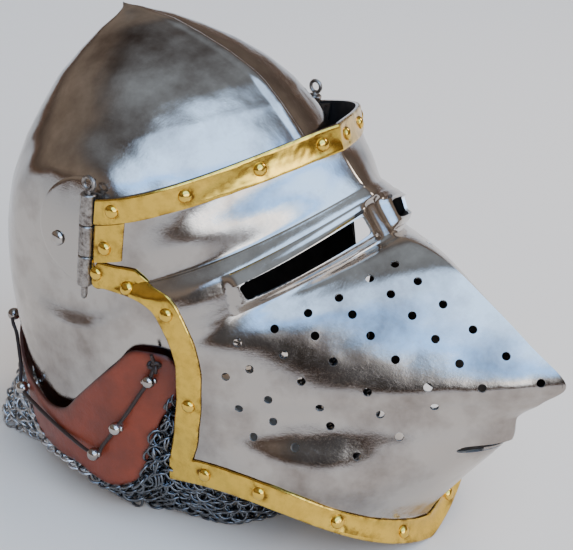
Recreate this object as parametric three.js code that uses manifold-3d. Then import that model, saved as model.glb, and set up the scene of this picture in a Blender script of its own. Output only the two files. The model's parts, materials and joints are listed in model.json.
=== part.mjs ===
// Hounskull bascinet: a pointed steel skull, a snouted visor edged in riveted brass, and the
// leather, lace and mail that hang from it. Millimetres. The helm frame has its origin between
// the two pivot rivets, +X to the wearer's left, -Y to the front, +Z up along the worn helm. The
// finished helm is tipped back by restTilt, as it lies on its chin and on its mail.
import * as THREE from 'three';
import { mergeVertices } from 'three/addons/utils/BufferGeometryUtils.js';
import Module from 'manifold-3d';

const wasm = await Module();
wasm.setup();

// Driving dimensions
const restTilt = 14;            // degrees that the resting helm is tipped back
const contactGap = 0.35;        // clearance between pieces that touch
const skullHeight = 115;        // pivot axis to the point of the skull
const skullReach = 104;         // pivot axis to the back of the skull
const skullHalfWidth = 106;     // centre plane to the skull's side at the pivot
const visorSideGap = 3;         // room between the skull's side and the visor's hinge edge
const visorHalfWidth = skullHalfWidth + visorSideGap;
const skullWall = 2;
const napeRoundness = 0.66;     // fullness of the skull's rear quarters
const faceOpeningTop = 20;      // brow of the face opening above the pivot axis
const faceEdge = 0.27;          // side of the face opening, as a share of the way round to the nape
const templeReach = 36;         // radius of the temple's flattened round
const templeRound = 140;        // how gently that round is domed
const leatherStraight = -0.85;  // level below which the leather hangs straight
const knotRise = 16;            // from the first stud to the lace's knot
const snoutReach = 255;         // pivot axis to the point of the snout
const visorDrop = 223;          // pivot axis to the lowest point of the chin
const visorWall = 1.8;
const slotHeight = 11;          // clear height of an eye slot
const collarHeight = 6;         // how far the eye slot's collar stands out
const breathHoleDiameter = 5;
const mouthWidth = 54;
const mouthGap = 7;
const bandWidth = 16;
const bandThickness = 1;
const rivetDiameter = 8;
const rivetHeight = 2.6;
const hingeRadius = 33;         // round back of the hinge plate
const hingePlateThickness = 1.6;
const knuckleDiameter = 9;
const knuckleLength = 19;
const pinDiameter = 4;
const pinRingDiameter = 10;
const pinTail = 9;              // length of pin below the lowest knuckle
const pivotHeadDiameter = 9;
const leatherThickness = 2.4;
const leatherStandoff = 3;      // leather to skull
const vervelleDiameter = 8;
const vervelleStem = 5;
const laceDiameter = 2.4;
const mailThickness = 4.6;
const mailFold = 38;            // height at which the mail clears the skull's rim and folds in

// Visor rows from brow to chin. sideY and frontY are shares of snoutReach, sideZ and frontZ are
// shares of visorDrop, sideX is a share of visorHalfWidth. Each row is a curve from the rear edge
// to the centre plane: cheek is the share of its depth that it runs straight forward, nose the
// share of its half width at which it turns to the centre, and point how far back that turn lies.
const visorRows = [
  { name: 'brow edge', sideX: 1.0, sideY: -0.15, sideZ: 0.108,
    frontY: -0.51, frontZ: 0.164, cheek: 0.56, nose: 0.29, point: 0.16, fall: 0 },
  { name: 'brow band foot', sideX: 1.0, sideY: -0.127, sideZ: 0.036,
    frontY: -0.508, frontZ: 0.098, cheek: 0.52, nose: 0.36, point: 0.11, fall: 0 },
  { name: 'temple', sideX: 1.0, sideY: -0.102, sideZ: -0.05,
    frontY: -0.528, frontZ: 0.045, cheek: 0.52, nose: 0.45, point: 0.1, fall: 0.05 },
  { name: 'hinge foot', sideX: 0.995, sideY: -0.082, sideZ: -0.121,
    frontY: -0.553, frontZ: 0.002, cheek: 0.49, nose: 0.47, point: 0.11, fall: 0.1 },
  { name: 'cheek head', sideX: 0.99, sideY: -0.115, sideZ: -0.132,
    frontY: -0.56, frontZ: -0.006, cheek: 0.47, nose: 0.47, point: 0.11, fall: 0.12 },
  { name: 'slot roof', sideX: 0.985, sideY: -0.194, sideZ: -0.155,
    frontY: -0.575, frontZ: -0.025, cheek: 0.43, nose: 0.46, point: 0.11, fall: 0.15 },
  { name: 'slot top', sideX: 0.975, sideY: -0.235, sideZ: -0.186,
    frontY: -0.572, frontZ: -0.049, cheek: 0.4, nose: 0.45, point: 0.11, fall: 0.2 },
  { name: 'slot foot', sideX: 0.968, sideY: -0.25, sideZ: -0.223,
    frontY: -0.597, frontZ: -0.112, cheek: 0.36, nose: 0.4, point: 0.12, fall: 0.2 },
  { name: 'slot sill', sideX: 0.962, sideY: -0.257, sideZ: -0.25,
    frontY: -0.611, frontZ: -0.131, cheek: 0.34, nose: 0.4, point: 0.13, fall: 0.2 },
  { name: 'ridge root', sideX: 0.954, sideY: -0.26, sideZ: -0.274,
    frontY: -0.664, frontZ: -0.145, cheek: 0.32, nose: 0.34, point: 0.13, fall: 0.2 },
  { name: 'ridge high', sideX: 0.949, sideY: -0.263, sideZ: -0.305,
    frontY: -0.75, frontZ: -0.2, cheek: 0.3, nose: 0.28, point: 0.13, fall: 0.2 },
  { name: 'ridge middle', sideX: 0.943, sideY: -0.262, sideZ: -0.345,
    frontY: -0.835, frontZ: -0.293, cheek: 0.28, nose: 0.23, point: 0.13, fall: 0.2 },
  { name: 'ridge low', sideX: 0.934, sideY: -0.251, sideZ: -0.386,
    frontY: -0.925, frontZ: -0.398, cheek: 0.27, nose: 0.19, point: 0.13, fall: 0.2 },
  { name: 'snout point', sideX: 0.925, sideY: -0.238, sideZ: -0.435,
    frontY: -1.0, frontZ: -0.502, cheek: 0.27, nose: 0.15, point: 0.13, fall: 0.2 },
  { name: 'snout underside', sideX: 0.917, sideY: -0.224, sideZ: -0.475,
    frontY: -0.94, frontZ: -0.56, cheek: 0.28, nose: 0.21, point: 0.12, fall: 0.25 },
  { name: 'lip root', sideX: 0.911, sideY: -0.212, sideZ: -0.507,
    frontY: -0.87, frontZ: -0.605, cheek: 0.32, nose: 0.32, point: 0.08, fall: 0.3 },
  { name: 'mouth', sideX: 0.904, sideY: -0.2, sideZ: -0.54,
    frontY: -0.825, frontZ: -0.68, cheek: 0.4, nose: 0.42, point: 0.05, fall: 0.4 },
  { name: 'chin', sideX: 0.89, sideY: -0.18, sideZ: -0.58,
    frontY: -0.7, frontZ: -0.8, cheek: 0.65, nose: 0.68, point: 0.02, fall: 0.5 },
  { name: 'bottom band head', sideX: 0.885, sideY: -0.165, sideZ: -0.618,
    frontY: -0.592, frontZ: -0.917, cheek: 0.83, nose: 0.83, point: 0, fall: 0.35 },
  { name: 'chin edge', sideX: 0.881, sideY: -0.149, sideZ: -0.686,
    frontY: -0.586, frontZ: -0.994, cheek: 0.87, nose: 0.85, point: 0, fall: 0.35 },
];

// Skull levels from the point down. level, front and widest are shares of skullHeight, back is a
// share of skullReach and half a share of skullHalfWidth; keel sharpens the front of the section.
const skullLevels = [
  { level: 1.0, front: 0.14, back: 0.155, half: 0.0, widest: 0.14, keel: 0.1 },
  { level: 0.965, front: 0.035, back: 0.15, half: 0.066, widest: 0.095, keel: 0.16 },
  { level: 0.895, front: -0.175, back: 0.255, half: 0.22, widest: 0.067, keel: 0.18 },
  { level: 0.81, front: -0.34, back: 0.37, half: 0.375, widest: 0.04, keel: 0.18 },
  { level: 0.705, front: -0.513, back: 0.496, half: 0.54, widest: 0.013, keel: 0.17 },
  { level: 0.575, front: -0.678, back: 0.602, half: 0.69, widest: -0.02, keel: 0.15 },
  { level: 0.435, front: -0.783, back: 0.703, half: 0.83, widest: -0.04, keel: 0.13 },
  { level: 0.235, front: -0.896, back: 0.823, half: 0.95, widest: -0.04, keel: 0.1 },
  { level: 0.0, front: -0.957, back: 0.93, half: 1.0, widest: -0.02, keel: 0.08 },
  { level: -0.26, front: -0.98, back: 1.01, half: 1.01, widest: 0.0, keel: 0.06 },
  { level: -0.52, front: -0.974, back: 1.05, half: 0.998, widest: 0.02, keel: 0.05 },
  { level: -0.78, front: -0.94, back: 1.06, half: 0.968, widest: 0.035, keel: 0.04 },
  { level: -1.04, front: -0.9, back: 1.06, half: 0.93, widest: 0.05, keel: 0.03 },
  { level: -1.3, front: -0.87, back: 1.055, half: 0.89, widest: 0.06, keel: 0.03 },
];

// Lower rim of the skull: around is 0 at the front and 1 at the nape, rim a share of skullHeight.
const skullRim = [
  { around: 0.0, rim: -1.0 },
  { around: 0.38, rim: -1.18 },
  { around: 0.5, rim: -1.24 },
  { around: 0.6, rim: -1.2 },
  { around: 0.8, rim: -1.02 },
  { around: 1.0, rim: -0.88 },
];

// Breath holes, in lines from the eye slot down. across and row place the first and last hole of
// a line on the visor, bow and sag bend the line at its middle.
const breathLines = [
  { count: 6, across: 0.161, row: 9.4, endAcross: 0.1, endRow: 12.9, bow: 0.035, sag: 0 },
  { count: 6, across: 0.267, row: 9.47, endAcross: 0.271, endRow: 12.91, bow: 0.008, sag: 0 },
  { count: 6, across: 0.389, row: 9.65, endAcross: 0.36, endRow: 13.7, bow: 0.035, sag: -0.2 },
  { count: 6, across: 0.492, row: 9.74, endAcross: 0.387, endRow: 15.47, bow: 0.09, sag: -0.4 },
  { count: 6, across: 0.603, row: 9.88, endAcross: 0.479, endRow: 16.28, bow: 0.085, sag: -0.2 },
  { count: 5, across: 0.725, row: 9.98, endAcross: 0.643, endRow: 16.16, bow: 0.045, sag: -0.1 },
  { count: 3, across: 0.813, row: 11.72, endAcross: 0.748, endRow: 15.76, bow: 0.015, sag: -0.2 },
];

// Band rivets of one side: row 0 is the brow edge, the last row the chin edge, and the rows
// between lie along the rear edge.
const rivetPlaces = [
  { across: 0.92, row: 0 },
  { across: 0.64, row: 0 },
  { across: 0.37, row: 0 },
  { across: 0.1, row: 0 },
  { across: 1, row: 1.55 },
  { across: 1, row: 3.25 },
  { across: 1, row: 4.6 },
  { across: 1, row: 6.6 },
  { across: 1, row: 13.2 },
  { across: 0.9, row: 19 },
  { across: 0.72, row: 19 },
  { across: 0.42, row: 19 },
  { across: 0.12, row: 19 },
];

// Leather band from its front tip to the nape: depth is a share of skullReach, top and foot are
// shares of skullHeight.
const leatherRows = [
  { depth: -0.5, top: -0.69, foot: -0.8 },
  { depth: -0.46, top: -0.64, foot: -0.9 },
  { depth: -0.37, top: -0.61, foot: -1.0 },
  { depth: -0.28, top: -0.61, foot: -1.17 },
  { depth: -0.17, top: -0.68, foot: -1.32 },
  { depth: 0.0, top: -0.79, foot: -1.38 },
  { depth: 0.15, top: -0.88, foot: -1.34 },
  { depth: 0.3, top: -0.97, foot: -1.28 },
  { depth: 0.47, top: -0.97, foot: -1.25 },
  { depth: 0.63, top: -0.9, foot: -1.21 },
  { depth: 0.79, top: -0.8, foot: -1.09 },
  { depth: 0.93, top: -0.66, foot: -0.87 },
  { depth: 1.02, top: -0.58, foot: -0.78 },
  { depth: 1.2, top: -0.55, foot: -0.75 },
];

// Studs of one side, from the cheek to the nape, in the same shares
const vervelleRows = [
  { depth: -0.37, height: -0.76 },
  { depth: -0.13, height: -1.02 },
  { depth: 0.06, height: -1.18 },
  { depth: 0.72, height: -0.94 },
  { depth: 0.95, height: -0.62 },
];

// Mail from the throat to the nape. Where hang is 1 its top follows the leather's lower edge at
// depth, a share of skullReach; elsewhere topX, topY, topZ place it. X columns are shares of
// skullHalfWidth, Y columns of skullReach and Z columns of skullHeight, measured on the ground
// from below the pivots. spread is how far the middle line has moved from the top to the foot.
const mailRows = [
  { hang: 0, depth: 0, topX: 0, topY: -1.2, topZ: 0.36, footX: 0, footY: -1.15, spread: 0 },
  { hang: 0, depth: 0, topX: 0.34, topY: -1.17, topZ: 0.38, footX: 0.26, footY: -1.1, spread: 0 },
  { hang: 0, depth: 0, topX: 0.66, topY: -1.05, topZ: 0.46, footX: 0.47, footY: -1, spread: 0 },
  { hang: 0, depth: 0, topX: 0.77, topY: -0.9, topZ: 0.5, footX: 0.54, footY: -0.95, spread: 0 },
  { hang: 1, depth: -0.5, topX: 0, topY: 0, topZ: 0, footX: 0.57, footY: -0.88, spread: 0 },
  { hang: 1, depth: -0.46, topX: 0, topY: 0, topZ: 0, footX: 0.59, footY: -0.8, spread: 0 },
  { hang: 1, depth: -0.37, topX: 0, topY: 0, topZ: 0, footX: 0.61, footY: -0.69, spread: 0 },
  { hang: 1, depth: -0.28, topX: 0, topY: 0, topZ: 0, footX: 0.64, footY: -0.58, spread: 0.25 },
  { hang: 1, depth: -0.17, topX: 0, topY: 0, topZ: 0, footX: 0.7, footY: -0.45, spread: 0.5 },
  { hang: 1, depth: 0, topX: 0, topY: 0, topZ: 0, footX: 0.75, footY: -0.3, spread: 0.5 },
  { hang: 1, depth: 0.15, topX: 0, topY: 0, topZ: 0, footX: 0.71, footY: -0.13, spread: 0.5 },
  { hang: 1, depth: 0.3, topX: 0, topY: 0, topZ: 0, footX: 0.64, footY: 0.03, spread: 0.5 },
  { hang: 1, depth: 0.47, topX: 0, topY: 0, topZ: 0, footX: 0.59, footY: 0.25, spread: 0.5 },
  { hang: 1, depth: 0.63, topX: 0, topY: 0, topZ: 0, footX: 0.58, footY: 0.46, spread: 0.5 },
  { hang: 1, depth: 0.79, topX: 0, topY: 0, topZ: 0, footX: 0.6, footY: 0.65, spread: 0.5 },
  { hang: 1, depth: 0.93, topX: 0, topY: 0, topZ: 0, footX: 0.6, footY: 0.89, spread: 0.5 },
  { hang: 1, depth: 1.02, topX: 0, topY: 0, topZ: 0, footX: 0.45, footY: 1.05, spread: 0.5 },
  { hang: 1, depth: 1.2, topX: 0, topY: 0, topZ: 0, footX: 0, footY: 1.13, spread: 0.5 },
];

// Linear and smooth reading of a table by position or by key
const mix = (a, b, t) => a + (b - a) * t;
const clamp01 = (t) => Math.min(1, Math.max(0, t));
const smooth = (t) => clamp01(t) ** 2 * (3 - 2 * clamp01(t));
const spread = (from, to, count) => Array.from({ length: count }, (_, i) => mix(from, to, i / (count - 1)));

function spline(rows, position, column) {
  const last = rows.length - 1;
  const i = Math.min(last - 1, Math.max(0, Math.floor(position)));
  const t = position - i;
  const at = (k) => rows[Math.min(last, Math.max(0, k))][column];
  const [a, b, c, d] = [at(i - 1), at(i), at(i + 1), at(i + 2)];
  return b + 0.5 * t * (c - a + t * (2 * a - 5 * b + 4 * c - d + t * (3 * (b - c) + d - a)));
}

function positionAt(rows, key, value) {
  const rising = rows[rows.length - 1][key] > rows[0][key];
  for (let i = 0; i < rows.length - 1; i += 1) {
    const inside = rising ? value <= rows[i + 1][key] : value >= rows[i + 1][key];
    if (inside) return i + (value - rows[i][key]) / (rows[i + 1][key] - rows[i][key]);
  }
  return rows.length - 1;
}

const readTable = (rows, key, value, column) => spline(rows, positionAt(rows, key, value), column);

const bezier = (a, b, c, d, t) => {
  const s = 1 - t;
  return s * s * s * a + 3 * s * s * t * b + 3 * s * t * t * c + t * t * t * d;
};

// Visor surface. across runs from -1 (right rear edge) through 0 (centre) to 1 (left rear edge),
// row is a position in visorRows.
const rowNamed = (name) => visorRows.findIndex((row) => row.name === name);
const roofRow = rowNamed('slot roof');
const slotTopRow = rowNamed('slot top');
const slotFootRow = rowNamed('slot foot');
const sillRow = rowNamed('slot sill');
const hingeFootRow = rowNamed('hinge foot');
const snoutRow = rowNamed('snout point');
const lipRow = rowNamed('lip root');
const mouthRow = rowNamed('mouth');
const bandHeadRow = rowNamed('bottom band head');
const chinRow = visorRows.length - 1;
const browArch = 1.3;           // how a row climbs or falls across its width
const slotInner = 0.115;        // slot ends, shares of visorHalfWidth
const slotOuter = 0.745;
const slotFade = 0.045;

function visorBase(across, row) {
  const read = (column) => spline(visorRows, row, column);
  const side = new THREE.Vector3(
    read('sideX') * visorHalfWidth,
    read('sideY') * snoutReach,
    read('sideZ') * visorDrop,
  );
  const front = new THREE.Vector3(0, read('frontY') * snoutReach, read('frontZ') * visorDrop);
  const depth = front.y - side.y;
  const t = 1 - Math.abs(across);
  const x = bezier(side.x, side.x, side.x * read('nose'), 0, t);
  const y = bezier(side.y, side.y + depth * read('cheek'), front.y - depth * read('point'), front.y, t);
  const fall = read('fall');
  const gone = fall * ((y - side.y) / depth) ** 2 + (1 - fall) * (1 - (x / side.x) ** browArch);
  const z = mix(side.z, front.z, gone);
  return new THREE.Vector3(Math.sign(across) * x, y, z);
}

function surfaceNormal(surface, u, v, du, dv, toward) {
  const along = surface(u + du, v).sub(surface(u - du, v));
  const down = surface(u, v + dv).sub(surface(u, v - dv));
  const normal = along.cross(down).normalize();
  return normal.dot(toward) < 0 ? normal.negate() : normal;
}

const visorBaseNormal = (across, row) => {
  const point = visorBase(across, row);
  const toward = new THREE.Vector3(point.x, point.y, 0);
  return surfaceNormal(visorBase, across, row, 0.01, 0.05, toward);
};

// The collar that frames each eye slot rises from roof to slot and falls to the sill.
function collarRise(across, row) {
  if (row <= roofRow || row >= sillRow) return 0;
  const share = Math.abs(visorBase(across, row).x) / visorHalfWidth;
  const inner = smooth((share - slotInner * 0.3) / (slotInner * 0.7));
  const ends = inner * smooth((slotOuter + slotFade - share) / slotFade);
  const rise = row < slotTopRow ? row - roofRow : row > slotFootRow ? sillRow - row : 1;
  return collarHeight * rise * ends;
}

function visorPoint(across, row) {
  const rise = collarRise(across, row);
  const lipShare = Math.abs(visorBase(across, row).x) * 2 / mouthWidth;
  const lip = row > lipRow && row < mouthRow ? (1 - smooth(lipShare - 0.4)) * (row - lipRow) : 0;
  const point = visorBase(across, row);
  if (rise > 0) point.addScaledVector(visorBaseNormal(across, row), rise);
  if (lip > 0) point.y -= lip * 4;
  return point;
}

const visorNormal = (across, row) => {
  const point = visorPoint(across, row);
  return surfaceNormal(visorPoint, across, row, 0.01, 0.04, new THREE.Vector3(point.x, point.y, 0));
};

// A point of the visor's outer face, lifted from it by offset
function onVisor(across, row, offset) {
  const u = Math.min(0.995, Math.max(-0.995, across));
  const v = Math.min(chinRow - 0.05, Math.max(0.05, row));
  return visorPoint(across, row).addScaledVector(visorNormal(u, v), offset);
}

// Skull surface. around runs once round the helm: 0 front, 0.5 right side, 1 nape, then back on
// the left side to 2. height is a level as a share of skullHeight.
function skullSection(around, height) {
  const place = positionAt(skullLevels, 'level', height);
  const read = (column) => spline(skullLevels, place, column);
  const half = Math.max(0, read('half')) * skullHalfWidth;
  const widest = read('widest') * skullHeight;
  const front = read('front') * skullHeight;
  const back = read('back') * skullReach;
  const side = around > 1 ? 1 : -1;
  const turn = around > 1 ? 2 - around : around;
  const roundness = 0.5523;
  const keel = read('keel');
  if (turn < 0.5) {
    const t = turn * 2;
    const x = bezier(0, half * (roundness - keel), half, half, t);
    const y = bezier(front, mix(front, widest, keel), mix(widest, front, roundness), widest, t);
    return new THREE.Vector3(side * x, y, height * skullHeight);
  }
  const t = turn * 2 - 1;
  const x = bezier(half, half, half * napeRoundness, 0, t);
  const y = bezier(widest, mix(widest, back, napeRoundness), back, back, t);
  return new THREE.Vector3(side * x, y, height * skullHeight);
}

// The hinge plate turns on a shallow dome of revolution about the pivot axis; the skull is
// flattened to it near the pivot and fades to its own shape further out.
const templeAt = (y, z) => skullHalfWidth - (y * y + z * z) / (2 * templeRound);

function skullPoint(around, height) {
  const point = skullSection(around, height);
  const away = Math.hypot(point.y, point.z);
  const hold = 1 - smooth((away - templeReach) / (templeReach * 0.7));
  if (hold > 0) point.x = Math.sign(point.x) * mix(Math.abs(point.x), templeAt(point.y, point.z), hold);
  return point;
}

const skullNormal = (around, height) => {
  const point = skullPoint(around, height);
  return surfaceNormal(skullPoint, around, height, 0.004, 0.01, new THREE.Vector3(point.x, point.y - 10, 20));
};

// Solids from grids, and joins and cuts
function geometryFrom(points, triangles) {
  const geometry = new THREE.BufferGeometry();
  const values = points.flatMap((p) => [p.x, p.y, p.z]);
  geometry.setAttribute('position', new THREE.Float32BufferAttribute(values, 3));
  geometry.setIndex(triangles.flat());
  return dropSlivers(mergeVertices(geometry, 1e-4));
}

function dropSlivers(geometry) {
  const index = geometry.index.array;
  const kept = [];
  for (let i = 0; i < index.length; i += 3) {
    const [a, b, c] = [index[i], index[i + 1], index[i + 2]];
    if (a !== b && b !== c && c !== a) kept.push(a, b, c);
  }
  geometry.setIndex(kept);
  return geometry;
}

// A wall between an outer and an inner grid of points, with side walls round every cell that is
// left out. wrap joins the last column to the first.
function wallFromGrids(outer, inner, wrap = false, keep = () => true) {
  const rows = outer.length;
  const columns = outer[0].length;
  const points = [...outer.flat(), ...inner.flat()];
  const at = (i, j, layer) => layer * rows * columns + i * columns + (j % columns);
  const cells = wrap ? columns : columns - 1;
  const has = (i, j) => {
    const column = wrap ? (j + cells) % cells : j;
    return i >= 0 && i < rows - 1 && column >= 0 && column < cells && keep(i, column);
  };
  const triangles = [];
  const quad = (a, b, c, d) => triangles.push([a, b, c], [a, c, d]);
  for (let i = 0; i < rows - 1; i += 1) {
    for (let j = 0; j < cells; j += 1) {
      if (!has(i, j)) continue;
      quad(at(i, j, 0), at(i + 1, j, 0), at(i + 1, j + 1, 0), at(i, j + 1, 0));
      quad(at(i, j, 1), at(i, j + 1, 1), at(i + 1, j + 1, 1), at(i + 1, j, 1));
      if (!has(i - 1, j)) quad(at(i, j, 0), at(i, j + 1, 0), at(i, j + 1, 1), at(i, j, 1));
      if (!has(i + 1, j)) quad(at(i + 1, j, 0), at(i + 1, j, 1), at(i + 1, j + 1, 1), at(i + 1, j + 1, 0));
      if (!has(i, j - 1)) quad(at(i, j, 0), at(i, j, 1), at(i + 1, j, 1), at(i + 1, j, 0));
      if (!has(i, j + 1)) quad(at(i, j + 1, 0), at(i + 1, j + 1, 0), at(i + 1, j + 1, 1), at(i, j + 1, 1));
    }
  }
  return outwardFaces(geometryFrom(points, triangles));
}

function signedVolume(geometry) {
  const p = geometry.attributes.position;
  const index = geometry.index.array;
  const [a, b, c] = [new THREE.Vector3(), new THREE.Vector3(), new THREE.Vector3()];
  let volume = 0;
  for (let i = 0; i < index.length; i += 3) {
    a.fromBufferAttribute(p, index[i]);
    b.fromBufferAttribute(p, index[i + 1]);
    c.fromBufferAttribute(p, index[i + 2]);
    volume += a.dot(b.cross(c)) / 6;
  }
  return volume;
}

function outwardFaces(geometry) {
  if (signedVolume(geometry) > 0) return geometry;
  const index = geometry.index.array;
  for (let i = 0; i < index.length; i += 3) [index[i], index[i + 1]] = [index[i + 1], index[i]];
  return geometry;
}

function plain(geometry) {
  const copy = geometry.clone();
  copy.deleteAttribute('normal');
  copy.deleteAttribute('uv');
  return outwardFaces(dropSlivers(mergeVertices(copy, 1e-4)));
}

function solid(geometry) {
  const merged = plain(geometry);
  const vertProperties = new Float32Array(merged.attributes.position.array);
  const triVerts = new Uint32Array(merged.index.array);
  return new wasm.Manifold(new wasm.Mesh({ numProp: 3, vertProperties, triVerts }));
}

function geometryOf(manifold) {
  const mesh = manifold.getMesh();
  const geometry = new THREE.BufferGeometry();
  geometry.setAttribute('position', new THREE.BufferAttribute(new Float32Array(mesh.vertProperties), 3));
  geometry.setIndex(Array.from(mesh.triVerts));
  return dropSlivers(mergeVertices(geometry, 1e-4));
}

function cut(geometry, cutters, tolerance = 0) {
  const body = cutters.reduce((rest, cutter) => rest.subtract(solid(cutter)), solid(geometry));
  return geometryOf(tolerance > 0 ? body.asOriginal().simplify(tolerance) : body);
}

const join = ([first, ...others]) => (
  geometryOf(others.reduce((body, next) => body.add(solid(next)), solid(first)))
);

// A turned piece whose profile runs along axis from base
function turned(profile, sides, base, axis) {
  const geometry = new THREE.LatheGeometry(profile.map(([r, h]) => new THREE.Vector2(r, h)), sides);
  geometry.applyQuaternion(new THREE.Quaternion().setFromUnitVectors(new THREE.Vector3(0, 1, 0), axis));
  geometry.translate(base.x, base.y, base.z);
  return plain(geometry);
}

const rod = (radius, from, to, sides) => {
  const axis = to.clone().sub(from);
  const length = axis.length();
  return turned([[0, 0], [radius, 0], [radius, length], [0, length]], sides, from, axis.normalize());
};

function mirrored(geometry) {
  const copy = geometry.clone();
  copy.scale(-1, 1, 1);
  return outwardFaces(copy);
}

// Materials
const finish = (color, roughness, metalness) => (
  new THREE.MeshStandardMaterial({ color, roughness, metalness })
);
const polishedSteel = finish('#b9bcc0', 0.18, 1);
const forgedSteel = finish('#7d7b78', 0.4, 1);
const brass = finish('#c9a24a', 0.25, 1);
const redLeather = finish('#6e2c22', 0.55, 0);
const darkLace = finish('#2a1e18', 0.8, 0);
const mailSteel = finish('#6f7074', 0.4, 1);

const helm = new THREE.Group();
const ground = new THREE.Group();

function place(name, geometry, material, parent = helm) {
  const mesh = new THREE.Mesh(geometry, material);
  mesh.name = name;
  parent.add(mesh);
}

// A piece made once for the right side and mirrored for the left
function placePair(name, geometry, material) {
  place(`${name}_right`, geometry, material);
  place(`${name}_left`, mirrored(geometry), material);
}

// Skull: a raised bowl with a face opening, its rim following skullRim, its temples flattened
// where the hinge plates turn
const rimAt = (around) => readTable(skullRim, 'around', around > 1 ? 2 - around : around, 'rim');
const upperLevels = [1, 0.98, 0.93, 0.86, 0.77, 0.66, 0.54, 0.42, 0.3];
const lowerSteps = [0, 0.15, 0.32, 0.5, 0.68, 0.84, 1];
const openColumns = [0, 0.14, 0.35, 0.6, 0.82];
const closedColumns = [0, 0.09, 0.18, 0.27, 0.35, 0.43, 0.51, 0.6, 0.7, 0.8, 0.9, 1];

function skullColumns() {
  const open = openColumns.map((share) => share * faceEdge);
  const closed = closedColumns.map((share) => mix(faceEdge, 1, share));
  const half = [...open, ...closed];
  return [...half, ...half.slice(1, -1).reverse().map((around) => 2 - around)];
}

function makeSkull() {
  const columns = skullColumns();
  const openingLevel = faceOpeningTop / skullHeight;
  const rows = upperLevels.length + lowerSteps.length;
  const levelOf = (row, around) => {
    if (row < upperLevels.length) return upperLevels[row];
    return mix(openingLevel, rimAt(around), lowerSteps[row - upperLevels.length]);
  };
  const pointAt = (row, around, depth) => {
    if (row === 0) return new THREE.Vector3(0, skullSection(0, 1).y, skullHeight - depth * 1.4);
    const level = levelOf(row, around);
    return skullPoint(around, level).addScaledVector(skullNormal(around, level), -depth);
  };
  const grid = (depth) => Array.from({ length: rows }, (_, row) => (
    columns.map((around) => pointAt(row, around, depth))
  ));
  const inOpening = (row, column) => {
    const turn = columns[column] > 1 ? 2 - columns[column] : columns[column];
    const next = columns[(column + 1) % columns.length];
    const nextTurn = next > 1 ? 2 - next : next;
    return row >= upperLevels.length && Math.max(turn, nextTurn) < faceEdge + 1e-6;
  };
  return wallFromGrids(grid(0), grid(skullWall), true, (row, column) => !inOpening(row, column));
}

// Pivot rivets run through the temples; their shanks need holes in skull and hinge plate.
const pivotShank = 5;
const washerLift = 1.3;         // clear of the faceted inside of the skull
const plateGap = 0.6;           // the temple's facets stand a little proud of its round
const pivotFace = skullHalfWidth + plateGap;
const besidePivot = (distance) => new THREE.Vector3(-pivotFace - distance, 0, 0);
const pivotHole = rod(pivotShank / 2 + contactGap, besidePivot(12), besidePivot(-12), 8);

function makePivotRivet() {
  const inside = new THREE.Vector3(-skullHalfWidth + skullWall + washerLift + 1.2, 0, 0);
  const plateOut = pivotFace + hingePlateThickness + contactGap;
  const reach = plateOut - Math.abs(inside.x);
  const head = pivotHeadDiameter / 2;
  const shank = pivotShank / 2;
  const washer = [[0, 0], [shank + 2, 0], [shank + 2, 1.2], [shank, 1.2]];
  const dome = [[shank, reach], [head, reach], [head * 0.75, reach + 1.9], [0, reach + 2.6]];
  const profile = [...washer, ...dome];
  return turned(profile, 8, inside, new THREE.Vector3(-1, 0, 0));
}

place('skull', cut(makeSkull(), [pivotHole, mirrored(pivotHole)], 0.05), polishedSteel);
placePair('pivot_rivet', makePivotRivet(), polishedSteel);

// Visor: a beaten plate with two collared eye slots, a mouth and rows of breath holes
function acrossAt(x, row) {
  let [low, high] = [0, 1];
  for (let step = 0; step < 30; step += 1) {
    const middle = (low + high) / 2;
    if (visorBase(middle, row).x < x) low = middle;
    else high = middle;
  }
  return (low + high) / 2;
}

const slotEnds = [slotInner * 0.3, slotInner, slotOuter, slotOuter + slotFade];
const slotColumns = slotEnds.map((share) => acrossAt(share * visorHalfWidth, slotTopRow));
const visorColumns = [0, ...slotColumns, 0.25, 0.38, 0.5, 0.78, 0.9, 1].sort((a, b) => a - b);
const fullColumns = [...visorColumns.slice(1).reverse().map((value) => -value), ...visorColumns];
const halfRows = [0.5, snoutRow - 0.5, mouthRow - 0.6, mouthRow + 0.5];

const visorPlaces = [...visorRows.keys(), ...halfRows].sort((a, b) => a - b);

function makeVisorWall() {
  const outer = visorPlaces.map((row) => fullColumns.map((across) => visorPoint(across, row)));
  const inner = visorPlaces.map((row) => fullColumns.map((across) => onVisor(across, row, -visorWall)));
  return wallFromGrids(outer, inner);
}

// A point lifted by offset from the visor's facets, for the thin pieces that lie on it
function onFacet(across, row, offset) {
  const cellOf = (list, value) => {
    const next = list.findIndex((entry) => entry > value);
    return Math.min(list.length - 2, Math.max(0, next - 1));
  };
  const i = row >= chinRow ? visorPlaces.length - 2 : cellOf(visorPlaces, row);
  const j = across >= 1 ? fullColumns.length - 2 : cellOf(fullColumns, across);
  const down = (row - visorPlaces[i]) / (visorPlaces[i + 1] - visorPlaces[i]);
  const along = (across - fullColumns[j]) / (fullColumns[j + 1] - fullColumns[j]);
  const corner = (a, b) => onVisor(fullColumns[j + a], visorPlaces[i + b], offset);
  const upper = corner(0, 0).lerp(corner(1, 0), along);
  return upper.lerp(corner(0, 1).lerp(corner(1, 1), along), down);
}

// A cutter through the visor's wall, from a grid of outline points given across and along rows
function throughVisor(stations, reach) {
  const layer = (offset) => (
    stations.map(([a, b]) => [onVisor(a[0], a[1], offset), onVisor(b[0], b[1], offset)])
  );
  return wallFromGrids(layer(reach), layer(-reach));
}

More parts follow.
